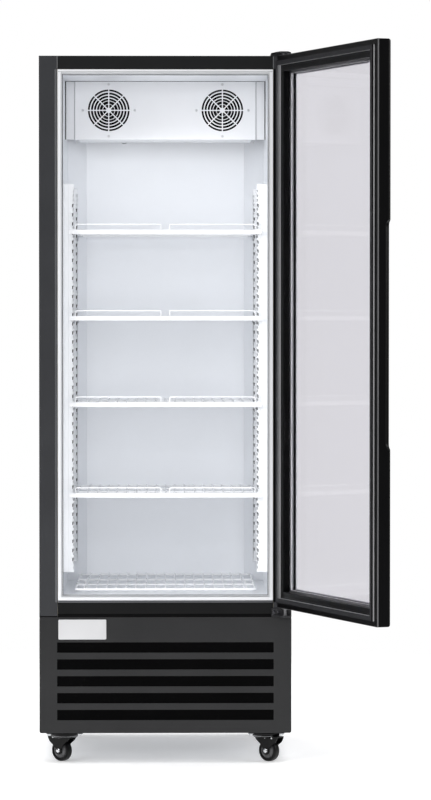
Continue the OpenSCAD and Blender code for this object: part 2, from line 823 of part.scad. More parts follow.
module base_panel() {
    color("#3b3c3f") difference() {
        translate([-half_w, front_y + panel_fold, base_z]) rotate([90, 0, 0]) linear_extrude(panel_fold)
            round_rect(cab_w, base_h - seam, panel_r);
        translate([sheet - half_w, front_y + panel_fold + 1, base_z + sheet]) rotate([90, 0, 0])
            linear_extrude(panel_fold + 1 - sheet)
                round_rect(cab_w - 2 * sheet, base_h - seam - 2 * sheet, panel_r - sheet);
        for (i = [0 : slot_count - 1])
            translate([slot_margin - half_w, front_y - 1, base_z + slot_bottom + i * slot_pitch])
                cube([cab_w - 2 * slot_margin, sheet + 2, slot_h]);
    }
}

// Washable mesh pad in a thin frame, clipped behind the slots
module air_filter() {
    x = half_w - slot_margin + 12;
    z0 = base_z + slot_bottom - 12;
    z1 = z0 + (slot_count - 1) * slot_pitch + slot_h + 24;
    y0 = front_y + sheet + 0.2;
    color("#0e0e0f") {
        block([-x, y0, z0], [x, y0 + 3, z1]);
        difference() {
            block([-x, y0 + 2.9, z0], [x, y0 + filter_t, z1]);
            block([filter_rim - x, y0, z0 + filter_rim],
                [x - filter_rim, y0 + filter_t + 1, z1 - filter_rim]);
        }
    }
}

module rear_grille() {
    x = half_w - sheet - seam;
    h = base_h - 2 * seam;
    rows = 9;
    cols = 3;
    slot = 132;
    color("#2c2e31") translate([0, back_y - sheet, base_z + seam]) rotate([90, 0, 0]) linear_extrude(sheet)
        difference() {
            translate([-x, 0]) square([2 * x, h]);
            for (c = [0 : cols - 1], r = [0 : rows - 1])
                translate([40 - x + c * (slot + 18), h / 2 + (r - (rows - 1) / 2) * 24 - 4])
                    square([slot, 8]);
            translate([gland_x, gland_z - base_z - seam]) circle(d = gland_d + 0.2);
        }
}

module compressor() {
    r = comp_d / 2;
    h = comp_h;
    color("#1d1e20") translate([comp_x, comp_y, comp_z0]) union() {
        rotate_extrude($fn = 72) polygon(concat([[0, 0], [r * 0.72, 0]],
            [for (a = [0 : 15 : 90]) [r * 0.72 + r * 0.28 * sin(a), r * 0.3 * (1 - cos(a))]],
            [[r, h * 0.56], [r + 3, h * 0.56], [r + 3, h * 0.6], [r * 0.98, h * 0.6]],
            [for (a = [0 : 15 : 90]) [r * 0.98 * cos(a), h * 0.6 + h * 0.4 * sin(a)]]));
        difference() {
            linear_extrude(3) for (m = [0 : 1], n = [0 : 1]) mirror([m, 0]) mirror([0, n])
                translate([20, 20]) square([foot_x - 4, foot_y - 4]);
            for (fx = [-foot_x, foot_x], fy = [-foot_y, foot_y]) translate([fx, fy, -1])
                cylinder(d = 16, h = 5);
        }
        translate([-r - 14, -22, h * 0.26]) cube([r * 0.6, 44, 52]);
        for (x = [0, suction_x - comp_x]) translate([x, 0, h * 0.9])
            cylinder(d = pipe_d + 4, h = comp_port_z - comp_z0 - h * 0.9);
    }
}

module compressor_grommets() {
    h = comp_z0 - deck_top;
    color("#101112") for (x = [-foot_x, foot_x], y = [-foot_y, foot_y])
        translate([comp_x + x, comp_y + y, deck_top]) rotate_extrude()
            polygon([[4, 0], [12, 0], [12, h - 0.1], [7.8, h - 0.1], [7.8, h + 3.1], [11, h + 3.1],
                [9, h + 7], [4, h + 7]]);
}

module condenser() {
    color("#17181a") union() {
        fin_block(cond_a, cond_b, cond_fins, cond_rows, 2, pipe_d);
        for (x = [cond_a[0] - 2, cond_b[0]])
            block([x, cond_y0, deck_top], [x + 2, cond_y1 + 0.2, cond_b[2]]);
    }
}

module condenser_shroud() {
    x0 = cond_x - cond_w / 2 - 2;
    x1 = cond_x + cond_w / 2 + 2;
    y0 = cond_y1 + 0.2;
    bar_y = cfan_y + cfan_d + 6;
    color("#4a4d50") difference() {
        union() {
            block([x0, y0, deck_top], [x1, y0 + 1.2, cond_z0 + cond_h]);
            translate([cond_x, y0, cfan_z]) rotate([-90, 0, 0])
                cylinder(r = cfan_r + 5, h = shroud_d, $fn = 96);
            for (s = [-1, 1]) block([cond_x + s * (cfan_r + 12) - 8, y0, cfan_z - 12],
                [cond_x + s * (cfan_r + 12) + 8, bar_y + 2, cfan_z + 12]);
            block([cond_x - cfan_r - 20, bar_y, cfan_z - 12],
                [cond_x + cfan_r + 20, bar_y + 2, cfan_z + 12]);
            translate([cond_x, bar_y, cfan_z]) rotate([-90, 0, 0]) cylinder(r = motor_r, h = motor_l);
        }
        translate([cond_x, y0 - 1, cfan_z]) rotate([-90, 0, 0])
            cylinder(r = cfan_r + 3, h = bar_y - y0 + 0.99, $fn = 96);
    }
    color("#c9cdd2") translate([cond_x, cfan_y + 3, cfan_z]) rotate([-90, 0, 0])
        cylinder(r = 4, h = bar_y - cfan_y - 3 + eps);
}

module condenser_rotor() {
    color("#6d7276") translate([cond_x, cfan_y, cfan_z]) rotate([-90, 0, 0]) union() {
        difference() {
            cylinder(r = chub_r, h = cfan_d);
            translate([0, 0, 4]) difference() {
                cylinder(r = chub_r - 2, h = cfan_d);
                cylinder(r = 9, h = cfan_d);
            }
            translate([0, 0, -1]) cylinder(r = 4 + run_gap, h = cfan_d + 2);
        }
        translate([0, 0, cfan_d / 2]) blade_set(cfan_blades, chub_r, cfan_r, 42, 28, 1.6);
    }
}

module condensate_tray() {
    r = 14;
    color("#2a2c2e") translate([tray_x - tray_w / 2, tray_y - tray_d / 2, deck_top]) difference() {
        linear_extrude(tray_h) round_rect(tray_w, tray_d, r);
        translate([tray_t, tray_t, tray_t]) linear_extrude(tray_h)
            round_rect(tray_w - 2 * tray_t, tray_d - 2 * tray_t, r - tray_t);
    }
}

module refrigerant_pipes() {
    front = tube_at(cond_y0, cond_y1, 2, 0);
    low = cond_out_z;
    high = cond_in_z;
    side = cond_tip_x + 0.2;
    back_z = comp_port_z + 30;
    pass_y = comp_y - comp_d / 2 - 30;
    pass_x = comp_x - comp_d / 2 - 40;
    joint_y = chase_y - 30;
    color("#b8693a") union() {
        run([[comp_x, comp_y, comp_port_z], [comp_x, comp_y, high], [comp_x, front, high],
            [side, front, high]], pipe_d, 12);
        run([[side, front, low], [drier_x, front, low], [drier_x, drier_y, low]], pipe_d - 2, 12);
        run([[drier_x, drier_y + drier_l, low], [drier_x, pass_y, low], [pass_x, pass_y, low],
            [pass_x, joint_y, low], [pass_x, joint_y, back_z], [suction_x, joint_y, back_z]], pipe_d - 2, 12);
        run([[suction_x, comp_y, comp_port_z], [suction_x, comp_y, back_z], [suction_x, chase_y, back_z],
            [suction_x, chase_y, port_z], [suction_x, coil_y1 + 18, port_z],
            [coil_tip_x + 14, coil_y1 + 18, port_z], [coil_tip_x + 14, coil_out_y, port_z],
            [coil_tip_x + 0.2, coil_out_y, port_z]], pipe_d, 10);
    }
}

module filter_drier() {
    l = drier_l;
    color("#c07a48") translate([drier_x, drier_y, cond_out_z]) rotate([-90, 0, 0]) rotate_extrude()
        polygon([[0, 0.2], [4, 0.2], [4, 8], [10, 16],
            [10, l - 16], [4, l - 8], [4, l - 0.2], [0, l - 0.2]]);
}

module control_box() {
    w = 118;
    h = 92;
    d = 70;
    color("#d5d7da")
    translate([half_w - sheet - w - 0.3, front_y + panel_fold + 30, deck_z - h - 0.3]) union() {
        difference() {
            cube([w, d, h]);
            translate([2, -1, 2]) cube([w - 4, d - 1, h - 4]);
        }
        translate([0.5, -2, 0.5]) cube([w - 1, 2, h - 1]);
        translate([20, -8, 24]) cube([16, 6, 22]);
    }
}

module power_gland() {
    t = 0.9;
    color("#141516") translate([gland_x, back_y - sheet, gland_z]) rotate([-90, 0, 0]) difference() {
        union() {
            cylinder(d = gland_d + 10, h = t);
            translate([0, 0, -sheet - 12]) cylinder(d = gland_d, h = sheet + 12 + t);
            translate([0, 0, -sheet - 6]) cylinder(d = gland_d + 8, h = 5.8, $fn = 6);
        }
        translate([0, 0, -20]) cylinder(d = 8, h = 40);
    }
}

// Hinges

// Part of a hinge plate in front of the cabinet, seen from above, with a round nose about the hinge axis
module hinge_nose() {
    x0 = half_w - hinge_w - 2;
    translate([pivot_x - 13, pivot_y]) square([half_w - 2 - pivot_x + 13, pivot_out]);
    translate([pivot_x, pivot_y]) circle(r = 13);
    polygon([[x0, front_y], [pivot_x - 13, pivot_y], [pivot_x - 13, front_y]]);
}

module top_hinge() {
    color("#18191b") difference() {
        translate([0, 0, top_z]) linear_extrude(hinge_t) {
            hinge_nose();
            translate([half_w - hinge_w - 2, front_y]) square([hinge_w, 70]);
        }
        translate([pivot_x, pivot_y, top_z - 1]) cylinder(d = pin_d, h = hinge_t + 2);
    }
}

module top_hinge_cover() {
    h = 5;
    x0 = half_w - hinge_w - 4;
    x1 = half_w - 3;
    color("#202124") difference() {
        translate([0, front_y + 74, top_z + hinge_t + seam]) rotate([90, 0, 0])
            linear_extrude(82 + pivot_out)
                polygon([[x0, 0], [x0 + 16, h * 0.75], [x0 + 26, h], [x1 - 8, h], [x1, h * 0.5], [x1, 0]]);
        translate([0, front_y + 72, top_z]) rotate([90, 0, 0]) linear_extrude(70 + pivot_out)
            polygon([[x0 + 1.5, 0], [x0 + 1.5, hinge_t + 0.6], [x0 + 17, h * 0.75 + hinge_t - 1.4],
                [x0 + 26, h + hinge_t - 1.4], [x1 - 9, h + hinge_t - 1.4], [x1 - 1.5, hinge_t + 0.6],
                [x1 - 1.5, 0]]);
    }
}

module bottom_hinge() {
    x0 = half_w - hinge_w - 1;
    z1 = door_z0 - 4;
    color("#141516") difference() {
        union() {
            translate([0, 0, deck_z + 1]) linear_extrude(hinge_t) hinge_nose();
            block([x0, front_y - hinge_t, deck_z + 1], [half_w - 1, front_y, z1]);
        }
        translate([pivot_x, pivot_y, deck_z]) cylinder(d = pin_d, h = hinge_t + 2);
        for (x = [8, 20]) translate([x0 + x, front_y + 1, deck_z + 14]) rotate([90, 0, 0])
            cylinder(d = 5, h = hinge_t + 2);
    }
}

module hinge_pins() {
    plate_top = deck_z + 1 + hinge_t;
    color("#d6d8db") translate([pivot_x, pivot_y, 0]) {
        translate([0, 0, deck_z + 1]) cylinder(d = pin_d, h = door_z0 + pin_in_door - deck_z - 1);
        translate([0, 0, door_z0 - 6]) cylinder(d = pin_d + 5, h = 4);
        translate([0, 0, plate_top]) cylinder(d = pin_d + 3, h = 3);
        translate([0, 0, door_z1 - pin_in_door])
            cylinder(d = pin_d, h = top_z + hinge_t - door_z1 + pin_in_door);
    }
}

// Door, every piece modelled closed and turned open with the rest

module hinge_bores() {
    translate([pivot_x, pivot_y, door_z0 - 1]) cylinder(d = bush_d, h = pin_in_door + 3);
    translate([pivot_x, pivot_y, door_z1 - pin_in_door - 2]) cylinder(d = bush_d, h = pin_in_door + 3);
}

module door_section() {
    difference() {
        union() {
            translate([frame_r, 0]) square([frame_w - frame_r, door_t]);
            translate([0, frame_r]) square([frame_w, door_t - frame_r - 2]);
            translate([2, frame_r]) square([frame_w - 2, door_t - frame_r]);
            translate([2, door_t - 2]) circle(2);
            translate([frame_r, frame_r]) circle(frame_r);
            translate([frame_r, 0]) square([lip_w - frame_r, lip_t]);
        }
        translate([gasket_in + gasket_w / 2 - barb_w / 2, door_t - barb_d - 1])
            square([barb_w, barb_d + 2]);
    }
}

module door_bar(side) {
    opened() color("#141517") difference() {
        frame_bar(side, half_w, door_z0, door_z1, door_y0, lip_w) door_section();
        hinge_bores();
        if (side == "left") scoop();
    }
}

// Finger scoop along the outer edge of the latch stile, with round ends
module scoop() {
    z = deck_z + scoop_z;
    translate([-half_w, door_y0, z - scoop_h / 2]) cylinder(r = scoop_r, h = scoop_h);
    for (s = [-1, 1]) translate([-half_w, door_y0, z + s * scoop_h / 2]) sphere(r = scoop_r);
}

module door_top_rail() {
    door_bar("top");
}

module door_bottom_rail() {
    door_bar("bottom");
}

module door_hinge_stile() {
    door_bar("right");
}

module door_latch_stile() {
    door_bar("left");
}

module glazing_bead() {
    opened() color("#101113") frame_ring(half_w, door_z0, door_z1, door_y0, lip_w)
        difference() {
            union() {
                translate([frame_w, pane_v3]) square([bead_w - frame_w, door_t - pane_v3 - 2]);
                translate([frame_w, pane_v3]) square([bead_w - frame_w - 2, door_t - pane_v3]);
                translate([bead_w - 2, door_t - 2]) circle(2);
            }
            translate([frame_w + 3, pane_v3 + 3]) square([bead_w - frame_w - 6, door_t - pane_v3 - 6]);
        }
}

module pane(v0) {
    edge = frame_w + glass_inset;
    opened() block([edge - half_w, door_y0 + v0, door_z0 + edge],
        [half_w - edge, door_y0 + v0 + glass_t, door_z1 - edge]);
}

module outer_glass() {
    color("#dfe6ea", 0.4) pane(lip_t);
}

module inner_glass() {
    color("#dfe6ea", 0.4) pane(pane_v2);
}

module glass_spacer() {
    opened() color("#b9bcc0") frame_ring(half_w, door_z0, door_z1, door_y0 + pane_v1, lip_w)
        translate([lip_w - 9, 0]) square([9, pane_gap]);
}

module door_gasket() {
    g = gasket_in;
    h = door_gap - gasket_gap;
    opened() color("#202123") frame_ring(half_w, door_z0, door_z1, door_y1, lip_w) difference() {
        union() {
            translate([g + 1.5, 0]) square([gasket_w - 3, h]);
            translate([g, h - 4]) square([gasket_w, 4]);
            translate([g, 0]) square([gasket_w, 2.5]);
            translate([g + gasket_w / 2 - barb_w / 2 + 0.2, 0.2 - barb_d]) square([barb_w - 0.4, barb_d]);
        }
        translate([g + 3, 2]) square([gasket_w - 6, h - 5.5]);
    }
}

module hinge_bushes() {
    opened() color("#e6e6e0") translate([pivot_x, pivot_y, 0]) difference() {
        union() {
            translate([0, 0, door_z0 - 1.7]) cylinder(d = bush_d + 6, h = 1.7);
            translate([0, 0, door_z0 - eps]) cylinder(d = bush_d, h = pin_in_door + 2);
            translate([0, 0, door_z1 - pin_in_door - 2]) cylinder(d = bush_d, h = pin_in_door + 2);
        }
        translate([0, 0, door_z0 - 3]) cylinder(r = pin_d / 2 + run_gap, h = pin_in_door + 4);
        translate([0, 0, door_z1 - pin_in_door - 1]) cylinder(r = pin_d / 2 + run_gap, h = pin_in_door + 4);
    }
}

// Casters

// Swivel axes: front left, front right, rear left, rear right, each with the way its fork points
caster_at = [[-caster_x, front_y + caster_y, 180 - 39.7], [caster_x, front_y + caster_y, -39.7],
    [-caster_x, back_y - caster_y, 150], [caster_x, back_y - caster_y, 35]];

module caster_plates() {
    r = race_d / 2;
    color("#3a3c3e") for (c = caster_at) translate([c[0], c[1], 0]) union() {
        difference() {
            translate([-plate_w / 2, -plate_l / 2, base_z - 4]) linear_extrude(4)
                round_rect(plate_w, plate_l, 8);
            for (x = [-1, 1], y = [-1, 1])
                translate([x * (plate_w / 2 - 8), y * (plate_l / 2 - 8), base_z - 5])
                    cylinder(d = 8.5, h = 6);
        }
        translate([0, 0, race_z]) rotate_extrude()
            polygon([[0, 0], [r - 9, 0], [r - 3, 3], [r, race_h - 2], [r, race_h], [0, race_h]]);
        translate([0, 0, race_z - 8.2]) cylinder(d = 12, h = 8.7);
        translate([0, 0, race_z - 8.2]) cylinder(d = 19, h = 3.4);
    }
}

// Outline of a fork leg, seen along the axle: broad behind the swivel axis, narrow at the axle
module fork_leg() {
    t = caster_trail;
    top = race_z - 0.8;
    polygon([[-28, top], [50, top], [49, top - 7], [43, top - 17], [31, top - 26], [t + 10, axle_z + 5],
        [t - 10, axle_z + 4], [-9, top - 22], [-22, top - 12], [-28, top - 4]]);
    translate([t, axle_z]) circle(11);
}

// Fork with its axle, trailing along +X from the swivel axis
module caster_fork() {
    t = caster_trail;
    top = race_z - 0.3;
    body = 4.2;
    outer = fork_gap + fork_t;
    color("#1a1b1d") difference() {
        union() {
            translate([0, 0, top - body]) rotate_extrude()
                polygon([[0, 0], [fork_d / 2 - 5, 0], [fork_d / 2, body], [0, body]]);
            translate([0, -outer, top - body]) cube([49, 2 * outer, body - 0.5]);
            for (s = [-1, 1]) translate([0, s * (outer - fork_t / 2) + fork_t / 2, 0]) rotate([90, 0, 0])
                linear_extrude(fork_t) difference() {
                    fork_leg();
                    translate([t, axle_z]) circle(r = axle_d / 2 + run_gap);
                }
        }
        translate([0, 0, top - 10]) cylinder(r = 6 + run_gap, h = 12);
    }
    color("#d6d8db") translate([t, 0, axle_z]) rotate([90, 0, 0]) {
        cylinder(d = axle_d, h = 2 * outer + 1, center = true);
        for (s = [-1, 1]) translate([0, 0, s * (outer + 1.7)])
            cylinder(d = axle_d + 4, h = 3, center = true);
    }
}

module caster_wheel() {
    r = wheel_d / 2;
    w = wheel_w / 2;
    color("#17181a") translate([caster_trail, 0, axle_z]) rotate([90, 0, 0]) difference() {
        rotate_extrude($fn = 72) polygon([[0, -w - 0.8], [9, -w - 0.8], [9, 2 - w], [r - 9, 4 - w],
            [r - 7, -w], [r - 3, -w], [r - 0.6, 3 - w], [r, 7 - w], [r, w - 7], [r - 0.6, w - 3], [r - 3, w],
            [r - 7, w], [r - 9, w - 4], [9, w - 2], [9, w + 0.8], [0, w + 0.8]]);
        cylinder(r = axle_d / 2 + run_gap, h = 3 * wheel_w, center = true);
    }
}

module at_caster(i) {
    translate([caster_at[i][0], caster_at[i][1], 0]) rotate([0, 0, caster_at[i][2]]) children();
}

module caster_fork_fl() {
    at_caster(0) caster_fork();
}

module caster_fork_fr() {
    at_caster(1) caster_fork();
}

module caster_fork_rl() {
    at_caster(2) caster_fork();
}

module caster_fork_rr() {
    at_caster(3) caster_fork();
}

module caster_wheel_fl() {
    at_caster(0) caster_wheel();
}

module caster_wheel_fr() {
    at_caster(1) caster_wheel();
}

module caster_wheel_rl() {
    at_caster(2) caster_wheel();
}

module caster_wheel_rr() {
    at_caster(3) caster_wheel();
}

side_panel_left();
side_panel_right();
top_panel();
rear_panel();
floor_panel();
insulation();
inner_liner();
breaker_strip();
shelf_standards_left();
shelf_standards_right();
shelf_clips();
shelf_1();
shelf_2();
shelf_3();
shelf_4();
floor_rack();
evaporator_cover();
evaporator_coil();
drain_pan();
drain_tube();
evaporator_fan_frames();
evaporator_rotor_left();
evaporator_rotor_right();
machine_deck();
base_panel();
air_filter();
rear_grille();
compressor();
compressor_grommets();
condenser();
condenser_shroud();
condenser_rotor();
condensate_tray();
refrigerant_pipes();
filter_drier();
control_box();
power_gland();
top_hinge();
top_hinge_cover();
bottom_hinge();
hinge_pins();
door_top_rail();
door_bottom_rail();
door_hinge_stile();
door_latch_stile();
glazing_bead();
outer_glass();
inner_glass();
glass_spacer();
door_gasket();
hinge_bushes();
caster_plates();
caster_fork_fl();
caster_fork_fr();
caster_fork_rl();
caster_fork_rr();
caster_wheel_fl();
caster_wheel_fr();
caster_wheel_rl();
caster_wheel_rr();
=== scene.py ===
import math

import bmesh
import bpy
from mathutils import Matrix, Vector


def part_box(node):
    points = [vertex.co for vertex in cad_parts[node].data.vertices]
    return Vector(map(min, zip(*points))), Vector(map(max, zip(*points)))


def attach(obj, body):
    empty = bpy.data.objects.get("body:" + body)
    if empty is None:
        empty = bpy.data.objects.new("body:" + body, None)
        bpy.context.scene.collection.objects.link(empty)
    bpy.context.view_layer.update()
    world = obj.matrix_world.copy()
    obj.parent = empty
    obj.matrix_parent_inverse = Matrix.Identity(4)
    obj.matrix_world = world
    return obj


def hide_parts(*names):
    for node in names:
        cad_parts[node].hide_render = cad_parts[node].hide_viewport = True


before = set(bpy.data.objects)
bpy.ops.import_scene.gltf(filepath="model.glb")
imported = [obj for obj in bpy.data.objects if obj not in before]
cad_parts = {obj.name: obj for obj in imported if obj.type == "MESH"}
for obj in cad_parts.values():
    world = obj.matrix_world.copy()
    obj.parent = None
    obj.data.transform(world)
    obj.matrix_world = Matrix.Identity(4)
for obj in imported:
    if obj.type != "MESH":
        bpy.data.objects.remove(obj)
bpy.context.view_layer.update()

# Cabinet shell
# Folded sheet steel, powder coated in satin black before it is assembled. The flanges of the side
# panels stand at the front, and the foam between shell and liner holds the sheets together.

# The top panel's black is much darker than the shell's, as painted shade on the same coat.
shell_black, top_black_painted_shade = (0.030, 0.031, 0.034), (0.0085, 0.009, 0.0095)
peel_per_m, peel_height = 1300.0, 0.00002
patches_per_m, smears_per_m, gloss_swing = 6.0, 17.0, 0.15
sheet_edge_r = 0.0007


def cloudy(nodes, links, per_m, detail=2.0):
    """A cloudy pattern that stays with its piece, with so many clouds to the metre."""
    place = nodes.new("ShaderNodeTexCoord")
    cloud = nodes.new("ShaderNodeTexNoise")
    cloud.inputs["Scale"].default_value = per_m
    cloud.inputs["Detail"].default_value = detail
    links.new(place.outputs["Object"], cloud.inputs["Vector"])
    return cloud.outputs["Fac"]


def finish(name, colour, rough, grain=peel_per_m, height=peel_height, spread=0.10, metal=0.0,
           soften=sheet_edge_r, level=0.5):
    """A coated, moulded or metal surface: colour and gloss vary a little, with fine grain and soft edges."""
    made = bpy.data.materials.new(name)
    made.use_nodes = True
    nodes, links = made.node_tree.nodes, made.node_tree.links
    shader = nodes["Principled BSDF"]
    shader.inputs["Metallic"].default_value = metal
    shader.inputs["Specular IOR Level"].default_value = level
    tone = nodes.new("ShaderNodeValToRGB")
    darker, lighter = tone.color_ramp.elements
    darker.position, lighter.position = 0.3, 0.7
    darker.color = (*[c * (1 - spread) for c in colour], 1)
    lighter.color = (*[min(1.0, c * (1 + spread)) for c in colour], 1)
    links.new(cloudy(nodes, links, patches_per_m, detail=5.0), tone.inputs["Fac"])
    links.new(tone.outputs["Color"], shader.inputs["Base Color"])
    gloss = nodes.new("ShaderNodeMapRange")
    gloss.inputs["To Min"].default_value = rough * (1 - gloss_swing)
    gloss.inputs["To Max"].default_value = min(1.0, rough * (1 + gloss_swing))
    links.new(cloudy(nodes, links, smears_per_m, detail=6.0), gloss.inputs["Value"])
    links.new(gloss.outputs["Result"], shader.inputs["Roughness"])
    relief = nodes.new("ShaderNodeBump")
    relief.inputs["Distance"].default_value = height
    links.new(cloudy(nodes, links, grain), relief.inputs["Height"])
    edge = nodes.new("ShaderNodeBevel")
    edge.samples = 4
    edge.inputs["Radius"].default_value = soften
    links.new(edge.outputs["Normal"], relief.inputs["Normal"])
    links.new(relief.outputs["Normal"], shader.inputs["Normal"])
    return made


def dress(material, *names):
    """Puts a finish on pieces of the frame."""
    for name in names:
        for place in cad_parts[name].material_slots:
            place.material = material


shell_coat = finish("shell_powder_coat", shell_black, rough=0.42, level=0.3)
dress(shell_coat, "side_panel_left", "side_panel_right", "rear_panel")
# A darker copy of the shell coat for the top panel, as painted shade.
top_painted_shade_coat = finish("top_powder_coat_painted_shade", top_black_painted_shade, rough=0.42, level=0.25)
dress(top_painted_shade_coat, "top_panel")

# Front flange edges
# The folded lip of the left side panel, drawn in a lighter grey as a painted highlight on its rounded edge,
# and a fine bright line above each corner of the opening, a painted highlight on the edges of the sheet.

side_low, side_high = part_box("side_panel_left")
cabinet_front = side_low.y
opening_half, opening_low, opening_high = 0.295, 0.447, 1.900
lip_near, lip_far, lip_below, lip_corner, lip_edge = 0.0003, 0.0065, 0.004, 0.002, 0.0002
seam_inside, seam_outside, seam_above, seam_below_top = 0.0009, 0.0007, 0.002, 0.001
trim_t = 0.00025
edge_highlight_grey, bright_line_grey = (0.075, 0.077, 0.082), (0.16, 0.165, 0.17)


def add_band(made, a, b):
    """The faces between two rings of points, or between a ring and a single point."""
    steps = max(len(a), len(b))
    for i in range(steps):
        k = (i + 1) % steps
        near = [a[0]] if len(a) == 1 else [a[i], a[k]]
        made.faces.new(near + ([b[0]] if len(b) == 1 else [b[k], b[i]]))


def add_plate(made, left, right, low, high, back, t, corner=0.0006, edge=0.0001, steps=5):
    """A flat plate that faces the front, with round corners and a rounded front edge."""
    front, bend = back - t, 0.3 * edge
    middles = ((right - corner, high - corner, 0), (left + corner, high - corner, 90),
               (left + corner, low + corner, 180), (right - corner, low + corner, 270))
    rings = []
    for inset, y in ((0, back), (0, front + edge), (bend, front + bend), (edge, front)):
        r = corner - inset
        rings.append([made.verts.new((x + r * math.cos(math.radians(start + 90 * i / steps)), y,
                                      z + r * math.sin(math.radians(start + 90 * i / steps))))
                      for x, z, start in middles for i in range(steps + 1)])
    made.faces.new(rings[0])
    made.faces.new(rings[-1])
    for outer, inner in zip(rings, rings[1:]):
        add_band(made, outer, inner)


def add_pair(made, inner, outer, *sizes, **rounding):
    """The same plate on the left and on the right, at equal distances from the middle."""
    add_plate(made, -outer, -inner, *sizes, **rounding)
    add_plate(made, inner, outer, *sizes, **rounding)


def fit(made, name, material, body, sharp_from=35):
    """Makes a piece of the mesh, gives it its finish, and fixes it to a part that moves or stands."""
    bmesh.ops.recalc_face_normals(made, faces=made.faces[:])
    mesh = bpy.data.meshes.new(name)
    made.to_mesh(mesh)
    made.free()
    for face in mesh.polygons:
        face.use_smooth = True
    mesh.set_sharp_from_angle(angle=math.radians(sharp_from))
    piece = bpy.data.objects.new(name, mesh)
    bpy.context.scene.collection.objects.link(piece)
    mesh.materials.append(material)
    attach(piece, body)
    return piece


# A lighter grey that paints a highlight on rounded edges, on the left flange's lip and on the rail's lip.
edge_highlight_finish = finish("painted_edge_highlight", edge_highlight_grey, rough=0.36)
made = bmesh.new()
add_plate(made, -opening_half - lip_far, -opening_half - lip_near, opening_low - lip_below, opening_high,
          cabinet_front, trim_t, corner=lip_corner, edge=lip_edge)
fit(made, "flange_lip", edge_highlight_finish, "cabinet")
# A light grey that paints a fine highlight along the edges of the sheet above the corners.
bright_line_highlight = finish("painted_bright_line_highlight", bright_line_grey, rough=0.4)
made = bmesh.new()
add_pair(made, opening_half - seam_inside, opening_half + seam_outside, opening_high + seam_above,
         side_high.z - seam_below_top, cabinet_front, trim_t)
fit(made, "flange_seams", bright_line_highlight, "cabinet")

# Rear panel screws
# Black pan-head screws with a cross recess, driven along all four edges of the rear panel.

rear_low, rear_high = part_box("rear_panel")
shell_screw_d, screw_from_edge, screw_from_corner = 0.0085, 0.0125, 0.03
screws_up_side, screws_across = 8, (-0.17, 0.0, 0.17)
backward = (0, 1, 0)


def turned_to(way):
    """The matrix that turns +Z to a direction."""
    return Vector(way).to_track_quat("Z", "Y").to_matrix().to_4x4()


def add_screw(made, at, way, d):
    """One pan-head screw with a cross recess, its head standing out of the surface along a direction."""
    rings, steps = 9, 32
    head_h, crown = 0.30 * d, 0.86
    recess_r, recess_half, recess_depth = 0.30 * d, 0.075 * d, 0.14 * d
    where = Matrix.Translation(at) @ turned_to(way)
    rows = []
    for i in range(rings + 1):
        r = d / 2 * i / rings
        row = []
        for j in range(steps if i else 1):
            x, y = r * math.cos(2 * math.pi * j / steps), r * math.sin(2 * math.pi * j / steps)
            z = head_h * math.sqrt(1 - (crown * i / rings) ** 4)
            if r < recess_r and min(abs(x), abs(y)) < recess_half:
                z -= recess_depth
            row.append(made.verts.new(where @ Vector((x, y, z))))
        rows.append(row)
    rows.append([made.verts.new(where @ Vector((d / 2 * math.cos(2 * math.pi * j / steps),
                                                d / 2 * math.sin(2 * math.pi * j / steps), 0)))
                 for j in range(steps)])
    for inner, outer in zip(rows, rows[1:]):
        add_band(made, inner, outer)
    made.faces.new(rows[-1])


screw_black = finish("screw_black", (0.035, 0.035, 0.038), rough=0.35, metal=0.6, soften=0.0002)
side_run = rear_high.z - rear_low.z - 2 * screw_from_corner
made = bmesh.new()
for i in range(screws_up_side):
    z = rear_low.z + screw_from_corner + side_run * i / (screws_up_side - 1)
    for x in (rear_low.x + screw_from_edge, rear_high.x - screw_from_edge):
        add_screw(made, (x, rear_high.y, z), backward, shell_screw_d)
for x in screws_across:
    for z in (rear_low.z + screw_from_edge, rear_high.z - screw_from_edge):
        add_screw(made, (x, rear_high.y, z), backward, shell_screw_d)
fit(made, "rear_panel_screws", screw_black, "cabinet")

# Lower front rail
# The front edge of the floor panel, powder coated, its coat much darker than the shell's as painted shade. It
# lies behind the door's lower edge, with a step where the gasket meets it, and ends in a narrow lip below the
# breaker strip, whose lighter grey is a painted highlight on the rail's top edge.

rail_black_painted_shade = (0.0030, 0.0032, 0.0034)
rail_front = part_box("floor_panel")[0].y
rail_lip_low, rail_lip_high, rail_lip_end = 0.0052, 0.0004, 0.001
rail_lip_back, rail_lip_t, rail_lip_edge = 0.001, 0.0008, 0.0004

# The rail's coat is far darker than the shell's: painted shade.
rail_painted_shade_coat = finish("rail_powder_coat_painted_shade", rail_black_painted_shade, rough=0.45, level=0.22)
dress(rail_painted_shade_coat, "floor_panel")
# The lip's lighter grey paints a highlight along the rail's top edge.
made = bmesh.new()
add_plate(made, rail_lip_end - opening_half, opening_half - rail_lip_end,
          opening_low - rail_lip_low, opening_low - rail_lip_high, rail_front + rail_lip_back, rail_lip_t,
          corner=0.001, edge=rail_lip_edge)
fit(made, "rail_lip", edge_highlight_finish, "cabinet")

# Seam shade strips
# Near-black strips in the joint between the box and the base, wide below the rail and narrow below the left
# flange, and along the right flange, where the hinged edge of the door closes on it. They are painted shade:
# of the gaps, and on the right flange of the open door.

base_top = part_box("base_panel")[1].z
tape_from_end, tape_above_base, tape_w, flange_tape_w = 0.0008, 0.0006, 0.0089, 0.0030
hinge_gap, flange_tape_gap = 0.001, 0.0006
tape_low = base_top + tape_above_base

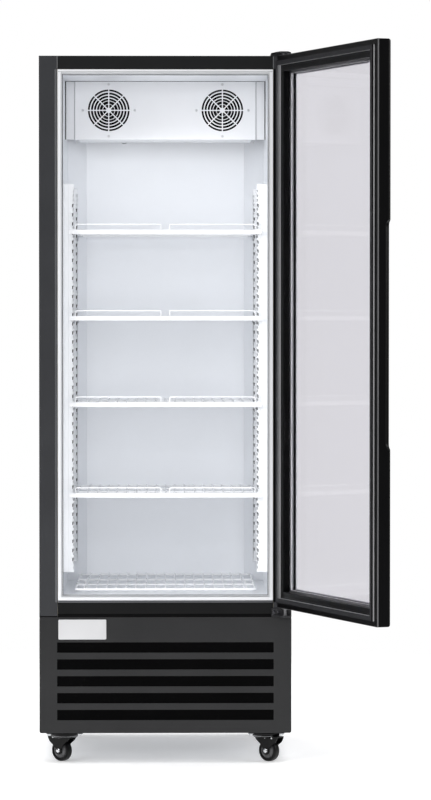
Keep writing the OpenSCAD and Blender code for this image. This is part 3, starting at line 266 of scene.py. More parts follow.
# Near black, used as painted shade in gaps and as the real black butyl of the glass unit.
butyl_and_painted_shade = finish("butyl_black_and_painted_shade", (0.0022, 0.0022, 0.0024), rough=0.8, grain=700.0, height=0.0001,
                    level=0.1)
made = bmesh.new()
add_plate(made, tape_from_end - opening_half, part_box("bottom_hinge")[0].x - hinge_gap,
          tape_low, tape_low + tape_w, rail_front, trim_t, corner=0.0008)
add_plate(made, side_low.x + tape_from_end, -opening_half - flange_tape_gap,
          tape_low, tape_low + flange_tape_w, cabinet_front, trim_t)
# The strip along the right flange paints the shade of the open door.
add_plate(made, opening_half + lip_near, opening_half + lip_far, opening_low - lip_below, opening_high,
          cabinet_front, trim_t, corner=lip_corner, edge=lip_edge)
fit(made, "seam_painted_shade", butyl_and_painted_shade, "cabinet")

# Insulation
# Rigid foam, poured between the shell and the liner. It shows nowhere once the cabinet is closed.

foam = finish("insulation_foam", (0.78, 0.68, 0.44), rough=0.9, grain=420.0, height=0.0004, spread=0.06)
dress(foam, "insulation")

# Inner liner
# White coated sheet with slanted rear corners, sealed along its folds. It is smooth,
# so that it wipes clean, and has a low gloss.

liner_white = (0.83, 0.85, 0.885)
liner_coat = finish("liner_white_coat", liner_white, rough=0.34, grain=700.0, height=0.000015, spread=0.012)
dress(liner_coat, "inner_liner")

# Breaker strip
# White plastic profile, snapped round the opening between the liner and the shell. It stops the
# cold at the edge and has a groove along its inner side.

strip_white = (0.69, 0.70, 0.72)
strip_plastic = finish("strip_white_plastic", strip_white, rough=0.38, grain=1500.0, height=0.00001,
                       spread=0.01)
dress(strip_plastic, "breaker_strip")

# Breaker strip shade beads
# Thin beads where the strip meets the liner, dark up both sides and grey below and above, and a grey strip in
# the shallow groove along the strip's upper edge. Their colours are painted shade in the gaps and in the
# groove.

liner_low, liner_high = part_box("inner_liner")
bead_back, bead_w, bead_t, bead_r, bead_from_wall = -0.3425, 0.0030, 0.0030, 0.0012, 0.0002
groove_low, groove_high, groove_end = 0.0078, 0.0062, 0.002
groove_back, groove_t = -0.3595, 0.0002

# Dark grey that paints the shade in the gaps up both sides of the strip.
dark_bead_shade = finish("bead_painted_shade_dark", (0.030, 0.031, 0.033), rough=0.5, grain=300.0, height=0.00005,
                   spread=0.06)
made = bmesh.new()
add_pair(made, liner_high.x - bead_w, liner_high.x - bead_from_wall,
         liner_low.z + bead_r, liner_high.z - bead_r, bead_back, bead_t, corner=bead_r, edge=bead_r)
fit(made, "strip_side_painted_shade", dark_bead_shade, "cabinet")
# Mid grey that paints the shade in the gaps below and above, in the groove, and at the cover's folds.
grey_bead_shade = finish("bead_painted_shade_grey", (0.34, 0.345, 0.36), rough=0.45, grain=300.0, height=0.00005,
                   spread=0.06)
made = bmesh.new()
for low in (liner_low.z + bead_r, liner_high.z - bead_r - bead_w):
    add_plate(made, bead_w - liner_high.x, liner_high.x - bead_w, low, low + bead_w, bead_back, bead_t,
              corner=bead_r, edge=bead_r)
add_plate(made, groove_end - opening_half, opening_half - groove_end, opening_high - groove_low,
          opening_high - groove_high, groove_back, groove_t)
fit(made, "strip_end_painted_shade", grey_bead_shade, "cabinet")

# Shelf standards
# White coated steel channels, riveted to the liner. The front of each has a row of oblong holes, one every 25
# mm, drawn as thin dark patches that paint the shade inside the hollow channel.

standard_white = (0.77, 0.785, 0.81)
channel_d = 0.030
hole_pitch, hole_h, hole_near, hole_far = 0.025, 0.009, 0.0020, 0.0046
first_hole, holes_short_of_ends, hole_t = 0.03, 0.05, 0.0001

standard_coat = finish("standard_white_coat", standard_white, rough=0.36, spread=0.015)
dress(standard_coat, "shelf_standards_left", "shelf_standards_right")
# Thin dark patches that paint the shade inside the holes.
slot_painted_shade = finish("slot_shadow", (0.05, 0.05, 0.052), rough=0.7, level=0.1)
made = bmesh.new()
for name in ("shelf_standards_left", "shelf_standards_right"):
    low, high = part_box(name)
    left = high.x - hole_far if name.endswith("left") else low.x + hole_near
    for face in (low.y, high.y - channel_d):
        for i in range(int((high.z - low.z - holes_short_of_ends) / hole_pitch)):
            z = low.z + first_hole + hole_pitch * i
            add_plate(made, left, left + hole_far - hole_near, z, z + hole_h, face, hole_t,
                      corner=0.0010, edge=hole_t / 2)
fit(made, "standard_slots", slot_painted_shade, "cabinet")

# Shelf clips
# Small pressed hooks, zinc plated and left bare. One hangs in a standard below each corner of a shelf.

clip_zinc = finish("clip_zinc", (0.62, 0.64, 0.67), rough=0.34, grain=2600.0, height=0.00001, metal=1.0,
                   soften=0.0003)
dress(clip_zinc, "shelf_clips")

# Shelves and floor rack
# Steel wires, welded where they cross and dipped in white plastic, which fills the joints.
# Each shelf has a flat bar at the front for price strips, and a low stop in two halves.

wire_coat = finish("wire_white_coat", (0.80, 0.81, 0.83), rough=0.28, grain=900.0, height=0.00003,
                   spread=0.02)
dress(wire_coat, "shelf_1", "shelf_2", "shelf_3", "shelf_4", "floor_rack")

# Evaporator cover
# One folded white sheet below the ceiling, with narrow wings at its ends that are set back, and a
# grille of punched slots before each fan: four even rings, and two wide ones round the middle.

cover_white = (0.72, 0.73, 0.755)
cover_low, cover_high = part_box("evaporator_cover")
cover_front, cover_half, cover_sheet, cover_fold = cover_low.y, 0.255, 0.001, 0.0025
wing_set_back, hood_back = 0.005, -0.0077
fan_middles = [
    (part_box(name)[0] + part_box(name)[1]) / 2
    for name in ("evaporator_rotor_left", "evaporator_rotor_right")
]
ring_outer, ring_pitch, ring_slot, rim_slot = 0.0586, 0.0085, 0.0057, 0.0051
inner_rings = [(0.0178, 0.0256), (0.0075, 0.0163)]
spokes, spoke_w = 8, 0.0031


def slot_rings():
    """The inner and outer radius of each ring of slots, from the rim inwards."""
    rings = [(ring_outer - rim_slot, ring_outer)]
    for i in range(1, 4):
        rings.append((ring_outer - i * ring_pitch - ring_slot, ring_outer - i * ring_pitch))
    return rings + inner_rings


def slot_outline(middle, inner, outer, spoke, steps=9):
    """The corners of one slot between two spokes, which have parallel sides."""
    corners = []
    for r, way in ((outer, 1), (inner, -1)):
        edge = math.asin(spoke_w / 2 / r)
        start = 2 * math.pi * spoke / spokes + edge
        end = 2 * math.pi * (spoke + 1) / spokes - edge
        turns = [start + (end - start) * i / steps for i in range(steps + 1)][::way]
        corners += [(middle.x + r * math.cos(a), middle.z + r * math.sin(a)) for a in turns]
    return corners


def add_slotted_sheet(made, outlines, front, t):
    """A flat sheet with openings: the first outline is its edge, and the others are punched out."""
    edges = []
    for outline in outlines:
        ring = [made.verts.new((x, front, z)) for x, z in outline]
        edges += [made.edges.new((ring[i - 1], ring[i])) for i in range(len(ring))]
    faces = [f for f in bmesh.ops.triangle_fill(made, use_beauty=True, edges=edges)["geom"]
             if isinstance(f, bmesh.types.BMFace)]
    rear = {v: made.verts.new(v.co + Vector((0, t, 0))) for e in edges for v in e.verts}
    for face in faces:
        made.faces.new([rear[v] for v in reversed(face.verts)])
    for edge in edges:
        a, b = edge.verts
        made.faces.new((a, b, rear[b], rear[a]))


def add_upright(made, line, low, high, t):
    """A sheet that stands upright along a line in the plan, with its thickness to the line's left."""
    rows = []
    for i, (x, y) in enumerate(line):
        (ax, ay), (bx, by) = line[max(i - 1, 0)], line[min(i + 1, len(line) - 1)]
        along = Vector((bx - ax, by - ay)).normalized()
        inner_x, inner_y = x - along.y * t, y + along.x * t
        rows.append([made.verts.new(p) for p in (
            (x, y, low), (x, y, high), (inner_x, inner_y, high), (inner_x, inner_y, low))])
    for a, b in zip(rows, rows[1:]):
        add_band(made, a, b)
    made.faces.new(rows[0])
    made.faces.new(rows[-1])


cover_coat = finish("cover_white_coat", cover_white, rough=0.36, spread=0.012, soften=0.0004)
flat_half = cover_half - cover_fold
outlines = [[(-flat_half, cover_low.z), (flat_half, cover_low.z), (flat_half, cover_high.z),
             (-flat_half, cover_high.z)]]
for middle in fan_middles:
    outlines += [slot_outline(middle, inner, outer, spoke)
                 for inner, outer in slot_rings() for spoke in range(spokes)]
made = bmesh.new()
add_slotted_sheet(made, outlines, cover_front, cover_sheet)
for side in (-1, 1):
    fold = [(side * (flat_half + cover_fold * math.sin(math.radians(a))),
             cover_front + cover_fold * (1 - math.cos(math.radians(a)))) for a in range(0, 91, 15)]
    wing = [(side * (cover_half - cover_sheet), cover_front + wing_set_back),
            (side * cover_high.x, cover_front + wing_set_back)]
    for line in (fold + [(side * cover_half, cover_high.y)], wing):
        add_upright(made, line[::side], cover_low.z, cover_high.z, cover_sheet)
hood_front = cover_front + cover_sheet
add_upright(made, [(-flat_half, hood_front), (flat_half, hood_front)], cover_low.z, cover_low.z + cover_sheet,
            hood_back - hood_front)
cover = fit(made, "evaporator_cover_sheet", cover_coat, "cabinet")
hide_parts("evaporator_cover")

# Fan screws
# Four zinc-plated pan-head screws round each grille, which hold the fan's frame behind the cover.

fan_screw_ring, fan_screw_d = 0.073, 0.0075

screw_light = finish("screw_light_zinc", (0.60, 0.61, 0.63), rough=0.32, metal=0.4, soften=0.0002)
made = bmesh.new()
for middle in fan_middles:
    for turn in (0, 90, 180, 270):
        a = math.radians(turn)
        at = (middle.x + fan_screw_ring * math.cos(a), cover_front, middle.z + fan_screw_ring * math.sin(a))
        add_screw(made, at, (0, -1, 0), fan_screw_d)
fit(made, "fan_screws", screw_light, "cabinet")

# Cover shade strips
# Near-black strips between the cover's wings and the liner and along its upper edge, and a grey bead in the
# corner where each wing leaves the front, all painted shade in the gaps and folds.

seal_inside, seal_past, top_seal_low, top_seal_t = 0.0022, 0.0006, 0.0012, 0.0003
side_seal_back, side_seal_t = 0.0045, 0.0005
joint_near, joint_far, joint_t = 0.0001, 0.0016, 0.0008

# Near-black strips that paint the shade in the gaps at the wings and the upper edge.
made = bmesh.new()
add_pair(made, cover_high.x - seal_inside, cover_high.x + seal_past, cover_low.z, cover_high.z,
         cover_front + side_seal_back, side_seal_t, edge=0.0002)
add_plate(made, cover_low.x, cover_high.x, cover_high.z - top_seal_low, cover_high.z + seal_past,
          cover_front, top_seal_t)
fit(made, "cover_painted_shade", butyl_and_painted_shade, "cabinet")
# Grey beads that paint the shade of the folds where the wings leave the front.
made = bmesh.new()
add_pair(made, cover_half + joint_near, cover_half + joint_far, cover_low.z, cover_high.z,
         cover_front + wing_set_back, joint_t, edge=joint_t / 2)
fit(made, "cover_joint_painted_shade", grey_bead_shade, "cabinet")

# Evaporator fans
# Square black plastic frames with a motor on four struts, and a seven-bladed rotor in each.
# They sit close behind the cover and blow through its slots.

fan_plastic = finish("fan_black_plastic", (0.0035, 0.0035, 0.004), rough=0.5, level=0.12)
dress(fan_plastic, "evaporator_fan_frames", "evaporator_rotor_left", "evaporator_rotor_right")

# Evaporator coil
# Fins on one bent tube, dipped in dark epoxy against rust. A ribbed black screen stands before it
# and keeps fingers off the fins.

fin_dark = (0.012, 0.012, 0.014)
coil_low, coil_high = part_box("evaporator_coil")
screen_front, screen_t, screen_low, screen_below_coil = -0.0100, 0.002, 1.7480, 0.001
rib_count, rib_pitch, rib_w, rib_t, rib_inset = 23, 0.020, 0.0012, 0.0012, 0.002

fin_coat = finish("fin_dark_epoxy", fin_dark, rough=0.5, grain=2200.0, soften=0.0002, level=0.2)
dress(fin_coat, "evaporator_coil")
coil_screen = finish("coil_screen_black", (0.0030, 0.0030, 0.0032), rough=0.8, grain=420.0, height=0.0005,
                     level=0.06)
screen_high = coil_high.z - screen_below_coil
made = bmesh.new()
add_plate(made, coil_low.x, coil_high.x, screen_low, screen_high, screen_front + screen_t, screen_t,
          corner=0.004, edge=0.0008)
for i in range(rib_count):
    x = coil_low.x + rib_pitch * (i + 0.5)
    add_plate(made, x - rib_w / 2, x + rib_w / 2, screen_low + rib_inset, screen_high - rib_inset,
              screen_front, rib_t, corner=0.0005, edge=0.0004)
fit(made, "coil_screen", coil_screen, "cabinet")

# Drain pan and drain tube
# A moulded white pan below the coil, and the tube that takes its water down inside the rear wall.

pan_plastic = finish("pan_white_plastic", (0.80, 0.81, 0.83), rough=0.45, spread=0.02)
dress(pan_plastic, "drain_pan", "drain_tube")

# Machine deck
# A zinc-plated tray across the base that carries the cooling unit. The plating is cloudy and bare.

deck_zinc = finish("deck_zinc", (0.52, 0.54, 0.57), rough=0.4, grain=90.0, height=0.00002, spread=0.14,
                   metal=1.0)
dress(deck_zinc, "machine_deck")

# Rear grille
# A sheet with rows of air slots, in the shell's own coat. Six black screws hold it to the base.

grille_low, grille_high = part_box("rear_grille")
grille_screw_side, grille_screw_end = 0.022, 0.016

dress(shell_coat, "rear_grille")
made = bmesh.new()
for x in (grille_low.x + grille_screw_side, 0.0, grille_high.x - grille_screw_side):
    for z in (grille_low.z + grille_screw_end, grille_high.z - grille_screw_end):
        add_screw(made, (x, grille_high.y, z), backward, shell_screw_d)
fit(made, "rear_grille_screws", screw_black, "cabinet")

# Air filter
# A black knitted mesh in a frame, slid in behind the base panel's slots. It keeps dust off the condenser.

filter_mesh = finish("filter_black_mesh", (0.0016, 0.0016, 0.0017), rough=0.9, grain=380.0, height=0.0006,
                     level=0.04)
dress(filter_mesh, "air_filter")

# Base panel
# Folded steel front of the base with five wide air slots. Its charcoal coat is a little lighter
# than the coat of the door and the rails.

base_charcoal = (0.020, 0.0202, 0.021)
base_coat = finish("base_charcoal_coat", base_charcoal, rough=0.46, level=0.25)
dress(base_coat, "base_panel")

# Blank plate
# A thin white plastic plate with round corners, glued to the base panel at its upper left.

base_low, base_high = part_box("base_panel")
plate_left, plate_w, plate_h, plate_t = 0.052, 0.131, 0.0546, 0.0006
plate_drop, plate_corner, plate_edge = 0.0062, 0.003, 0.0004

blank_white = finish("blank_plate_white", (0.55, 0.55, 0.56), rough=0.3, spread=0.01)
left, top = base_low.x + plate_left, base_high.z - plate_drop
made = bmesh.new()
add_plate(made, left, left + plate_w, top - plate_h, top, base_low.y, plate_t,
          corner=plate_corner, edge=plate_edge)
fit(made, "blank_plate", blank_white, "cabinet")

# Control box, cable gland and condensate tray
# A moulded grey box behind the right end of the base panel, a black gland in the rear grille, and
# a black tray on the deck, in which the drained water dries up.

box_plastic = finish("box_grey_plastic", (0.30, 0.31, 0.32), rough=0.5)
dress(box_plastic, "control_box")
dress(fan_plastic, "power_gland", "condensate_tray")

# Cooling unit
# A black enamelled compressor on rubber grommets, a black coated condenser with a bare fan in a
# zinc-plated shroud, drawn copper pipes and a copper drier.

enamel = finish("compressor_enamel", (0.012, 0.012, 0.013), rough=0.18, grain=300.0)
dress(enamel, "compressor")
rubber = finish("black_rubber", (0.016, 0.016, 0.017), rough=0.62, grain=1800.0, height=0.00004)
dress(rubber, "compressor_grommets")
coil_black = finish("condenser_black_coat", (0.014, 0.014, 0.015), rough=0.5, soften=0.0002)
dress(coil_black, "condenser")
dress(deck_zinc, "condenser_shroud")
bare_aluminium = finish("fan_bare_aluminium", (0.5, 0.51, 0.53), rough=0.4, metal=1.0)
dress(bare_aluminium, "condenser_rotor")
copper = finish("drawn_copper", (0.72, 0.36, 0.20), rough=0.28, grain=500.0, spread=0.18, metal=1.0)
dress(copper, "refrigerant_pipes", "filter_drier")

# Hinges
# Black coated steel plates on the cabinet's top and on its lower rail, with turned steel pins. A
# black moulded cover clips over the top plate.

hinge_coat = finish("hinge_black_coat", (0.014, 0.014, 0.016), rough=0.4)
dress(hinge_coat, "top_hinge", "bottom_hinge")
cover_plastic = finish("hinge_cover_plastic", (0.020, 0.020, 0.022), rough=0.46)
dress(cover_plastic, "top_hinge_cover")
pin_steel = finish("hinge_pin_steel", (0.30, 0.30, 0.31), rough=0.30, grain=1500.0, metal=1.0, soften=0.0003)
dress(pin_steel, "hinge_pins")

# Hinge screws
# Two dull zinc screws beside each other in the lower bracket, and two black ones, one behind the
# other, that hold the cover of the top hinge.

bracket_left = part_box("bottom_hinge")[0].x
bracket_screws, bracket_screw_above, bracket_t = (0.008, 0.020), 0.0143, 0.005
cap_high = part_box("top_hinge_cover")[1]
cap_screws, cap_screw_from_side, cap_screw_sunk = (0.018, 0.056), 0.018, 0.0001

screw_zinc = finish("screw_zinc", (0.09, 0.09, 0.10), rough=0.35, metal=1.0, soften=0.0002)
made = bmesh.new()
for across in bracket_screws:
    add_screw(made, (bracket_left + across, cabinet_front - bracket_t, base_top + bracket_screw_above),
              (0, -1, 0), shell_screw_d)
fit(made, "lower_hinge_screws", screw_zinc, "cabinet")
made = bmesh.new()
for behind in cap_screws:
    add_screw(made, (cap_high.x - cap_screw_from_side, cabinet_front + behind, cap_high.z - cap_screw_sunk),
              (0, 0, 1), shell_screw_d)
fit(made, "top_cover_screws", screw_black, "cabinet")

# Door frame
# Four satin black extrusions, mitred and joined at the corners, with a finger scoop in the free
# edge. A softer black bead holds the glass from the inside.

door_black = finish("door_satin_black", (0.0022, 0.0022, 0.0025), rough=0.30, level=0.14)
dress(door_black, "door_top_rail", "door_bottom_rail", "door_hinge_stile", "door_latch_stile")
bead_black = finish("bead_black_plastic", (0.0025, 0.0025, 0.0028), rough=0.42, level=0.12)
dress(bead_black, "glazing_bead")

# Door rim highlight strip
# A fine lighter strip round the frame, on the outer corner of the extrusions' inner side: a painted highlight
# on the rounded corner.

door_low, door_high = (corner.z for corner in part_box("door_latch_stile"))
door_half, door_open, gasket_t = 0.345, 110, 0.010
door_back = cabinet_front - gasket_t
hinge_axis = (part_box("hinge_pins")[0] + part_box("hinge_pins")[1]) / 2
hinge_axis.z = 0
door_turn = (Matrix.Translation(hinge_axis) @ Matrix.Rotation(math.radians(door_open), 4, "Z")
             @ Matrix.Translation(-hinge_axis))
rim_outside, rim_inside, rim_start, rim_w = -0.0001, 0.0004, 0.0042, 0.0036


def add_door_ring(made, near, far, y, rise, edge=0.0001):
    """A strip round the door between two distances from its edges, made as if closed and turned open."""
    rows = []
    for inset, lift in ((near, 0), (near, rise - edge), (near + edge, rise), (far - edge, rise),
                        (far, rise - edge), (far, 0)):
        left, right = inset - door_half, door_half - inset
        low, high = door_low + inset, door_high - inset
        rows.append([made.verts.new(door_turn @ Vector(p)) for p in (
            (left, y + lift, low), (right, y + lift, low), (right, y + lift, high), (left, y + lift, high))])
    for a, b in zip(rows, rows[1:] + rows[:1]):
        add_band(made, a, b)


# A lighter grey that paints the highlight on the frame's rounded corner.
rim_highlight_finish = finish("door_rim_painted_highlight", (0.11, 0.11, 0.115), rough=0.30, level=0.5)
made = bmesh.new()
add_door_ring(made, rim_outside, rim_inside, door_back - rim_start, rim_w)
fit(made, "door_rim_strip", rim_highlight_finish, "door")

# Glass
# Two clear panes with dry gas between them, faintly tinted. They are polished, and only a little
# haze breaks what they mirror.

glass_tint, glass_index, haze_per_m, haze = (0.910, 0.903, 0.928), 1.07, 3.0, 0.012


def glass(name, tint):
    """Clear glass with a faint haze that varies over the pane."""
    made = bpy.data.materials.new(name)
    made.use_nodes = True
    nodes, links = made.node_tree.nodes, made.node_tree.links
    shader = nodes["Principled BSDF"]
    shader.inputs["Transmission Weight"].default_value = 1.0
    shader.inputs["IOR"].default_value = glass_index
    shader.inputs["Base Color"].default_value = (*tint, 1)
    gloss = nodes.new("ShaderNodeMapRange")
    gloss.inputs["To Min"].default_value = 0.0
    gloss.inputs["To Max"].default_value = haze
    links.new(cloudy(nodes, links, haze_per_m), gloss.inputs["Value"])
    links.new(gloss.outputs["Result"], shader.inputs["Roughness"])
    return made


clear = glass("clear_glass", glass_tint)
dress(clear, "outer_glass", "inner_glass")

# Glass spacer, butyl line and painted highlights
# A bent aluminium bar between the panes, with a black butyl line along its inner side and a light strip on
# its crest that is a painted highlight. A white line round the outer pane's edge is a painted highlight on
# the glass edge.

spacer_inset, spacer_rear = 0.0500, door_back - 0.0212
film_near, film_far = spacer_inset - 0.0002, spacer_inset + 0.0003
crest_start, crest_w, butyl_start, butyl_w = 0.0048, 0.0046, 0.0116, 0.0036
seal_near, seal_far, seal_start, seal_w, seal_edge = 0.0001, 0.0032, 0.0397, 0.0026, 0.0006

spacer_metal = finish("spacer_aluminium", (0.26, 0.26, 0.272), rough=0.46, grain=1700.0, soften=0.0002)
dress(spacer_metal, "glass_spacer")
# A light grey strip that paints the highlight on the spacer's crest.
spacer_painted_highlight = finish("painted_highlight_on_spacer", (0.62, 0.62, 0.63), rough=0.35, grain=1700.0, spread=0.03,
                      soften=0.0002)
made = bmesh.new()
add_door_ring(made, film_near, film_far, spacer_rear - crest_start, crest_w)
fit(made, "spacer_painted_highlight", spacer_painted_highlight, "door")
made = bmesh.new()
add_door_ring(made, film_near, film_far, spacer_rear - butyl_start, butyl_w)
fit(made, "spacer_butyl", butyl_and_painted_shade, "door")
# A white strip that paints the highlight on the outer pane's edge.
pane_edge_highlight = finish("pane_edge_painted_highlight", (0.80, 0.80, 0.81), rough=0.4, grain=300.0, spread=0.02)
made = bmesh.new()
add_door_ring(made, spacer_inset + seal_near, spacer_inset + seal_far, door_back - seal_start,
              seal_w, seal_edge)
fit(made, "pane_edge_highlight", pane_edge_highlight, "door")

# Gasket
# Soft black vinyl with a magnet inside, pressed into a groove of the door frame. Its face has two fine ribs
# and its outer side a lip. The lip and a strip at the foot are near black as painted shade, and lighter grey
# strips on the folds and flanks of its bellows are painted highlights.

vinyl_grain, vinyl_height = 1000.0, 0.00003
gasket_face, rib_rise, rib_edge = cabinet_front - 0.0004, 0.0001, 0.00004
face_ribs = ((0.0157, 0.0172), (0.0248, 0.0263))
foot_near, foot_far, foot_h, foot_edge = 0.0130, 0.0150, 0.0012, 0.0004
outer_lip_near, outer_lip_far, outer_lip_start, outer_lip_h = 0.0146, 0.0151, 0.0054, 0.0040
outer_fold_near, outer_fold_far, outer_fold_start, outer_fold_h = 0.0147, 0.0152, 0.0014, 0.0038
flank_near, flank_far = 0.0266, 0.0273
inner_fold_start, inner_fold_h, flank_start, flank_h, soft_edge = 0.0002, 0.0042, 0.0048, 0.0046, 0.0002


def vinyl_finish(name, colour, rough, level):
    """Soft vinyl with the fine grain of its die."""
    return finish(name, colour, rough, grain=vinyl_grain, height=vinyl_height, level=level)


vinyl = vinyl_finish("gasket_vinyl", (0.018, 0.018, 0.020), rough=0.45, level=0.14)
dress(vinyl, "door_gasket")
made = bmesh.new()
for near, far in face_ribs:
    add_door_ring(made, near, far, gasket_face, rib_rise, rib_edge)
fit(made, "gasket_ribs", vinyl, "door")
# Near-black strips at the gasket's foot and on its outer lip: painted shade.
lip_painted_shade = vinyl_finish("painted_shade_gasket_lip", (0.004, 0.004, 0.0045), rough=0.5, level=0.15)
made = bmesh.new()
add_door_ring(made, foot_near, foot_far, door_back, foot_h, foot_edge)
add_door_ring(made, outer_lip_near, outer_lip_far, door_back + outer_lip_start, outer_lip_h, soft_edge)
fit(made, "gasket_lips", lip_painted_shade, "door")
# Lighter greys that paint highlights on the flanks and folds of the bellows.
flank_painted_highlight = vinyl_finish("painted_highlight_gasket_flank", (0.16, 0.162, 0.168), rough=0.35, level=0.5)
fold_painted_highlight = vinyl_finish("painted_highlight_gasket_fold", (0.30, 0.302, 0.310), rough=0.35, level=0.5)
made = bmesh.new()
add_door_ring(made, flank_near, flank_far, door_back + inner_fold_start, inner_fold_h, soft_edge)
add_door_ring(made, outer_fold_near, outer_fold_far, door_back + outer_fold_start, outer_fold_h)
fit(made, "gasket_folds", fold_painted_highlight, "door")
made = bmesh.new()
add_door_ring(made, flank_near, flank_far, door_back + flank_start, flank_h, soft_edge)
fit(made, "gasket_flanks", flank_painted_highlight, "door")

# Hinge bushes
# Natural nylon bushes, pressed into the ends of the hinge stile. The pins turn in them.

nylon = finish("bush_nylon", (0.74, 0.74, 0.70), rough=0.4)
dress(nylon, "hinge_bushes")

# Casters
# Pressed steel plates and forks, plated black, and black rubber tyres on plastic hubs. Four zinc
# bolts hold each plate, a bearing ring shows above the fork, and a bright axle is riveted through
# its legs, with two rivets in each leg and a ribbed cover on each side of the hub.

caster_side, caster_along = 0.068, 0.300
plate_bolt_x, plate_bolt_y, plate_under = 0.042, 0.034, 0.004
race_low, leg_face, wheel_half = 0.071, 0.0152, 0.011
rivets_along, rivet_z = (0.008, 0.031), 0.0660
washer = ((0, 0.0), (0.0078, 0.0), (0.0080, 0.0004), (0.0078, 0.0012), (0, 0.0012))
bolt_head = ((0, 0.0012), (0.0064, 0.0012), (0.0064, 0.0050), (0.0056, 0.0058), (0, 0.0058))
race = ((0.0376, -0.0002), (0.0384, -0.0002), (0.0388, 0.0003), (0.0384, 0.0008), (0.0376, 0.0008))
axle_cap = ((0, 0), (0.0066, 0), (0.0068, 0.0012), (0.0062, 0.0028), (0.0046, 0.0038), (0.0020, 0.0041),
            (0.0016, 0.0036), (0, 0.0036))
rivet = ((0, 0), (0.0026, 0), (0.0024, 0.0007), (0.0016, 0.0012), (0, 0.0014))
hub_cover = ((0.0092, -0.0021), (0.0092, -0.0002), (0.0108, -0.0002), (0.0116, -0.0016), (0.0180, -0.0030),
             (0.0192, -0.0022), (0.0208, -0.0022), (0.0209, -0.0041))
hub_ribs, bolt_turn = 6, 0.4
rib_root = ((0.0105, -0.0016, -0.0030), (0.0200, -0.0012, -0.0042), (0.0200, 0.0012, -0.0042),
            (0.0105, 0.0016, -0.0030))
rib_crest = ((0.0105, -0.0011, -0.0006), (0.0200, -0.0008, -0.0022), (0.0200, 0.0008, -0.0022),
             (0.0105, 0.0011, -0.0006))


def add_turned(made, profile, where, steps=40, closed=False):
    """A turned piece: (radius, height) points swept round an axis, ending on it or closed to a ring."""
    rows = []
    for r, h in profile:
        rows.append([made.verts.new(where @ Vector((r * math.cos(2 * math.pi * j / steps),
                                                    r * math.sin(2 * math.pi * j / steps), h)))
                     for j in range(steps if r else 1)])
    if closed:
        rows.append(rows[0])
    for a, b in zip(rows, rows[1:]):
        add_band(made, a, b)


zinc_bright = finish("bolt_zinc", (0.62, 0.63, 0.65), rough=0.24, metal=1.0, soften=0.0002)
bright = finish("bright_steel", (0.78, 0.79, 0.81), rough=0.16, grain=1500.0, metal=1.0, soften=0.0003)
fork_black = finish("caster_black_plating", (0.0018, 0.0018, 0.002), rough=0.18, level=0.16)
tyre_rubber = finish("caster_tyre_rubber", (0.0025, 0.0025, 0.0028), rough=0.34, grain=1200.0, height=0.00003,
                     level=0.2)
hub_plastic = finish("caster_hub_plastic", (0.055, 0.055, 0.058), rough=0.20, level=0.6)
dress(fork_black, "caster_plates")
bolt_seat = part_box("caster_plates")[1].z - plate_under
bolts = bmesh.new()
rings = bmesh.new()
for corner in ("fl", "fr", "rl", "rr"):
    fork, wheel = "caster_fork_" + corner, "caster_wheel_" + corner
    dress(fork_black, fork)
    dress(tyre_rubber, wheel)
    across = side_low.x + caster_side if corner[1] == "l" else -side_low.x - caster_side
    along = -caster_along if corner[0] == "f" else caster_along
    for x in (-1, 1):
        for y in (-1, 1):
            at = Matrix.Translation((across + x * plate_bolt_x, along + y * plate_bolt_y, bolt_seat))
            under = at @ Matrix.Rotation(math.pi, 4, "X")
            add_turned(bolts, washer, under, 32)
            add_turned(bolts, bolt_head, under @ Matrix.Rotation(bolt_turn * (x + 2 * y), 4, "Z"), 6)
    add_turned(rings, race, Matrix.Translation((across, along, race_low)), 64, closed=True)
    middle = (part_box(wheel)[0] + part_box(wheel)[1]) / 2
    swivel = Vector((across, along, 0))
    trail = Vector((middle.x - across, middle.y - along, 0)).normalized()
    axle = Vector((-trail.y, trail.x, 0))
    pins, hubs = bmesh.new(), bmesh.new()
    for way in (axle, -axle):
        outward = turned_to(way)
        add_turned(pins, axle_cap, Matrix.Translation(middle + way * leg_face) @ outward)
        for reach in rivets_along:
            spot = swivel + trail * reach + Vector((0, 0, rivet_z)) + way * leg_face
            add_turned(pins, rivet, Matrix.Translation(spot) @ outward, 20)
        hub_face = Matrix.Translation(middle + way * wheel_half) @ outward
        add_turned(hubs, hub_cover, hub_face, 48, closed=True)
        for i in range(hub_ribs):
            turn = hub_face @ Matrix.Rotation(2 * math.pi * i / hub_ribs, 4, "Z")
            root = [hubs.verts.new(turn @ Vector(p)) for p in rib_root]
            crest = [hubs.verts.new(turn @ Vector(p)) for p in rib_crest]
            add_band(hubs, root, crest)
            hubs.faces.new(root)
            hubs.faces.new(crest)
    fit(pins, "caster_pins_" + corner, bright, "caster_" + corner)
    fit(hubs, "caster_hub_" + corner, hub_plastic, "wheel_" + corner)
fit(bolts, "caster_bolts", zinc_bright, "cabinet")
fit(rings, "caster_bearing_rings", zinc_bright, "cabinet")

# Floor
# A pale floor that glows a little and fades out into the even white behind the machine.

floor_white, floor_glow, floor_reach = (0.86, 0.86, 0.865), 0.24, 3.3
floor_clear_from, floor_clear_to = 1.9, 3.1

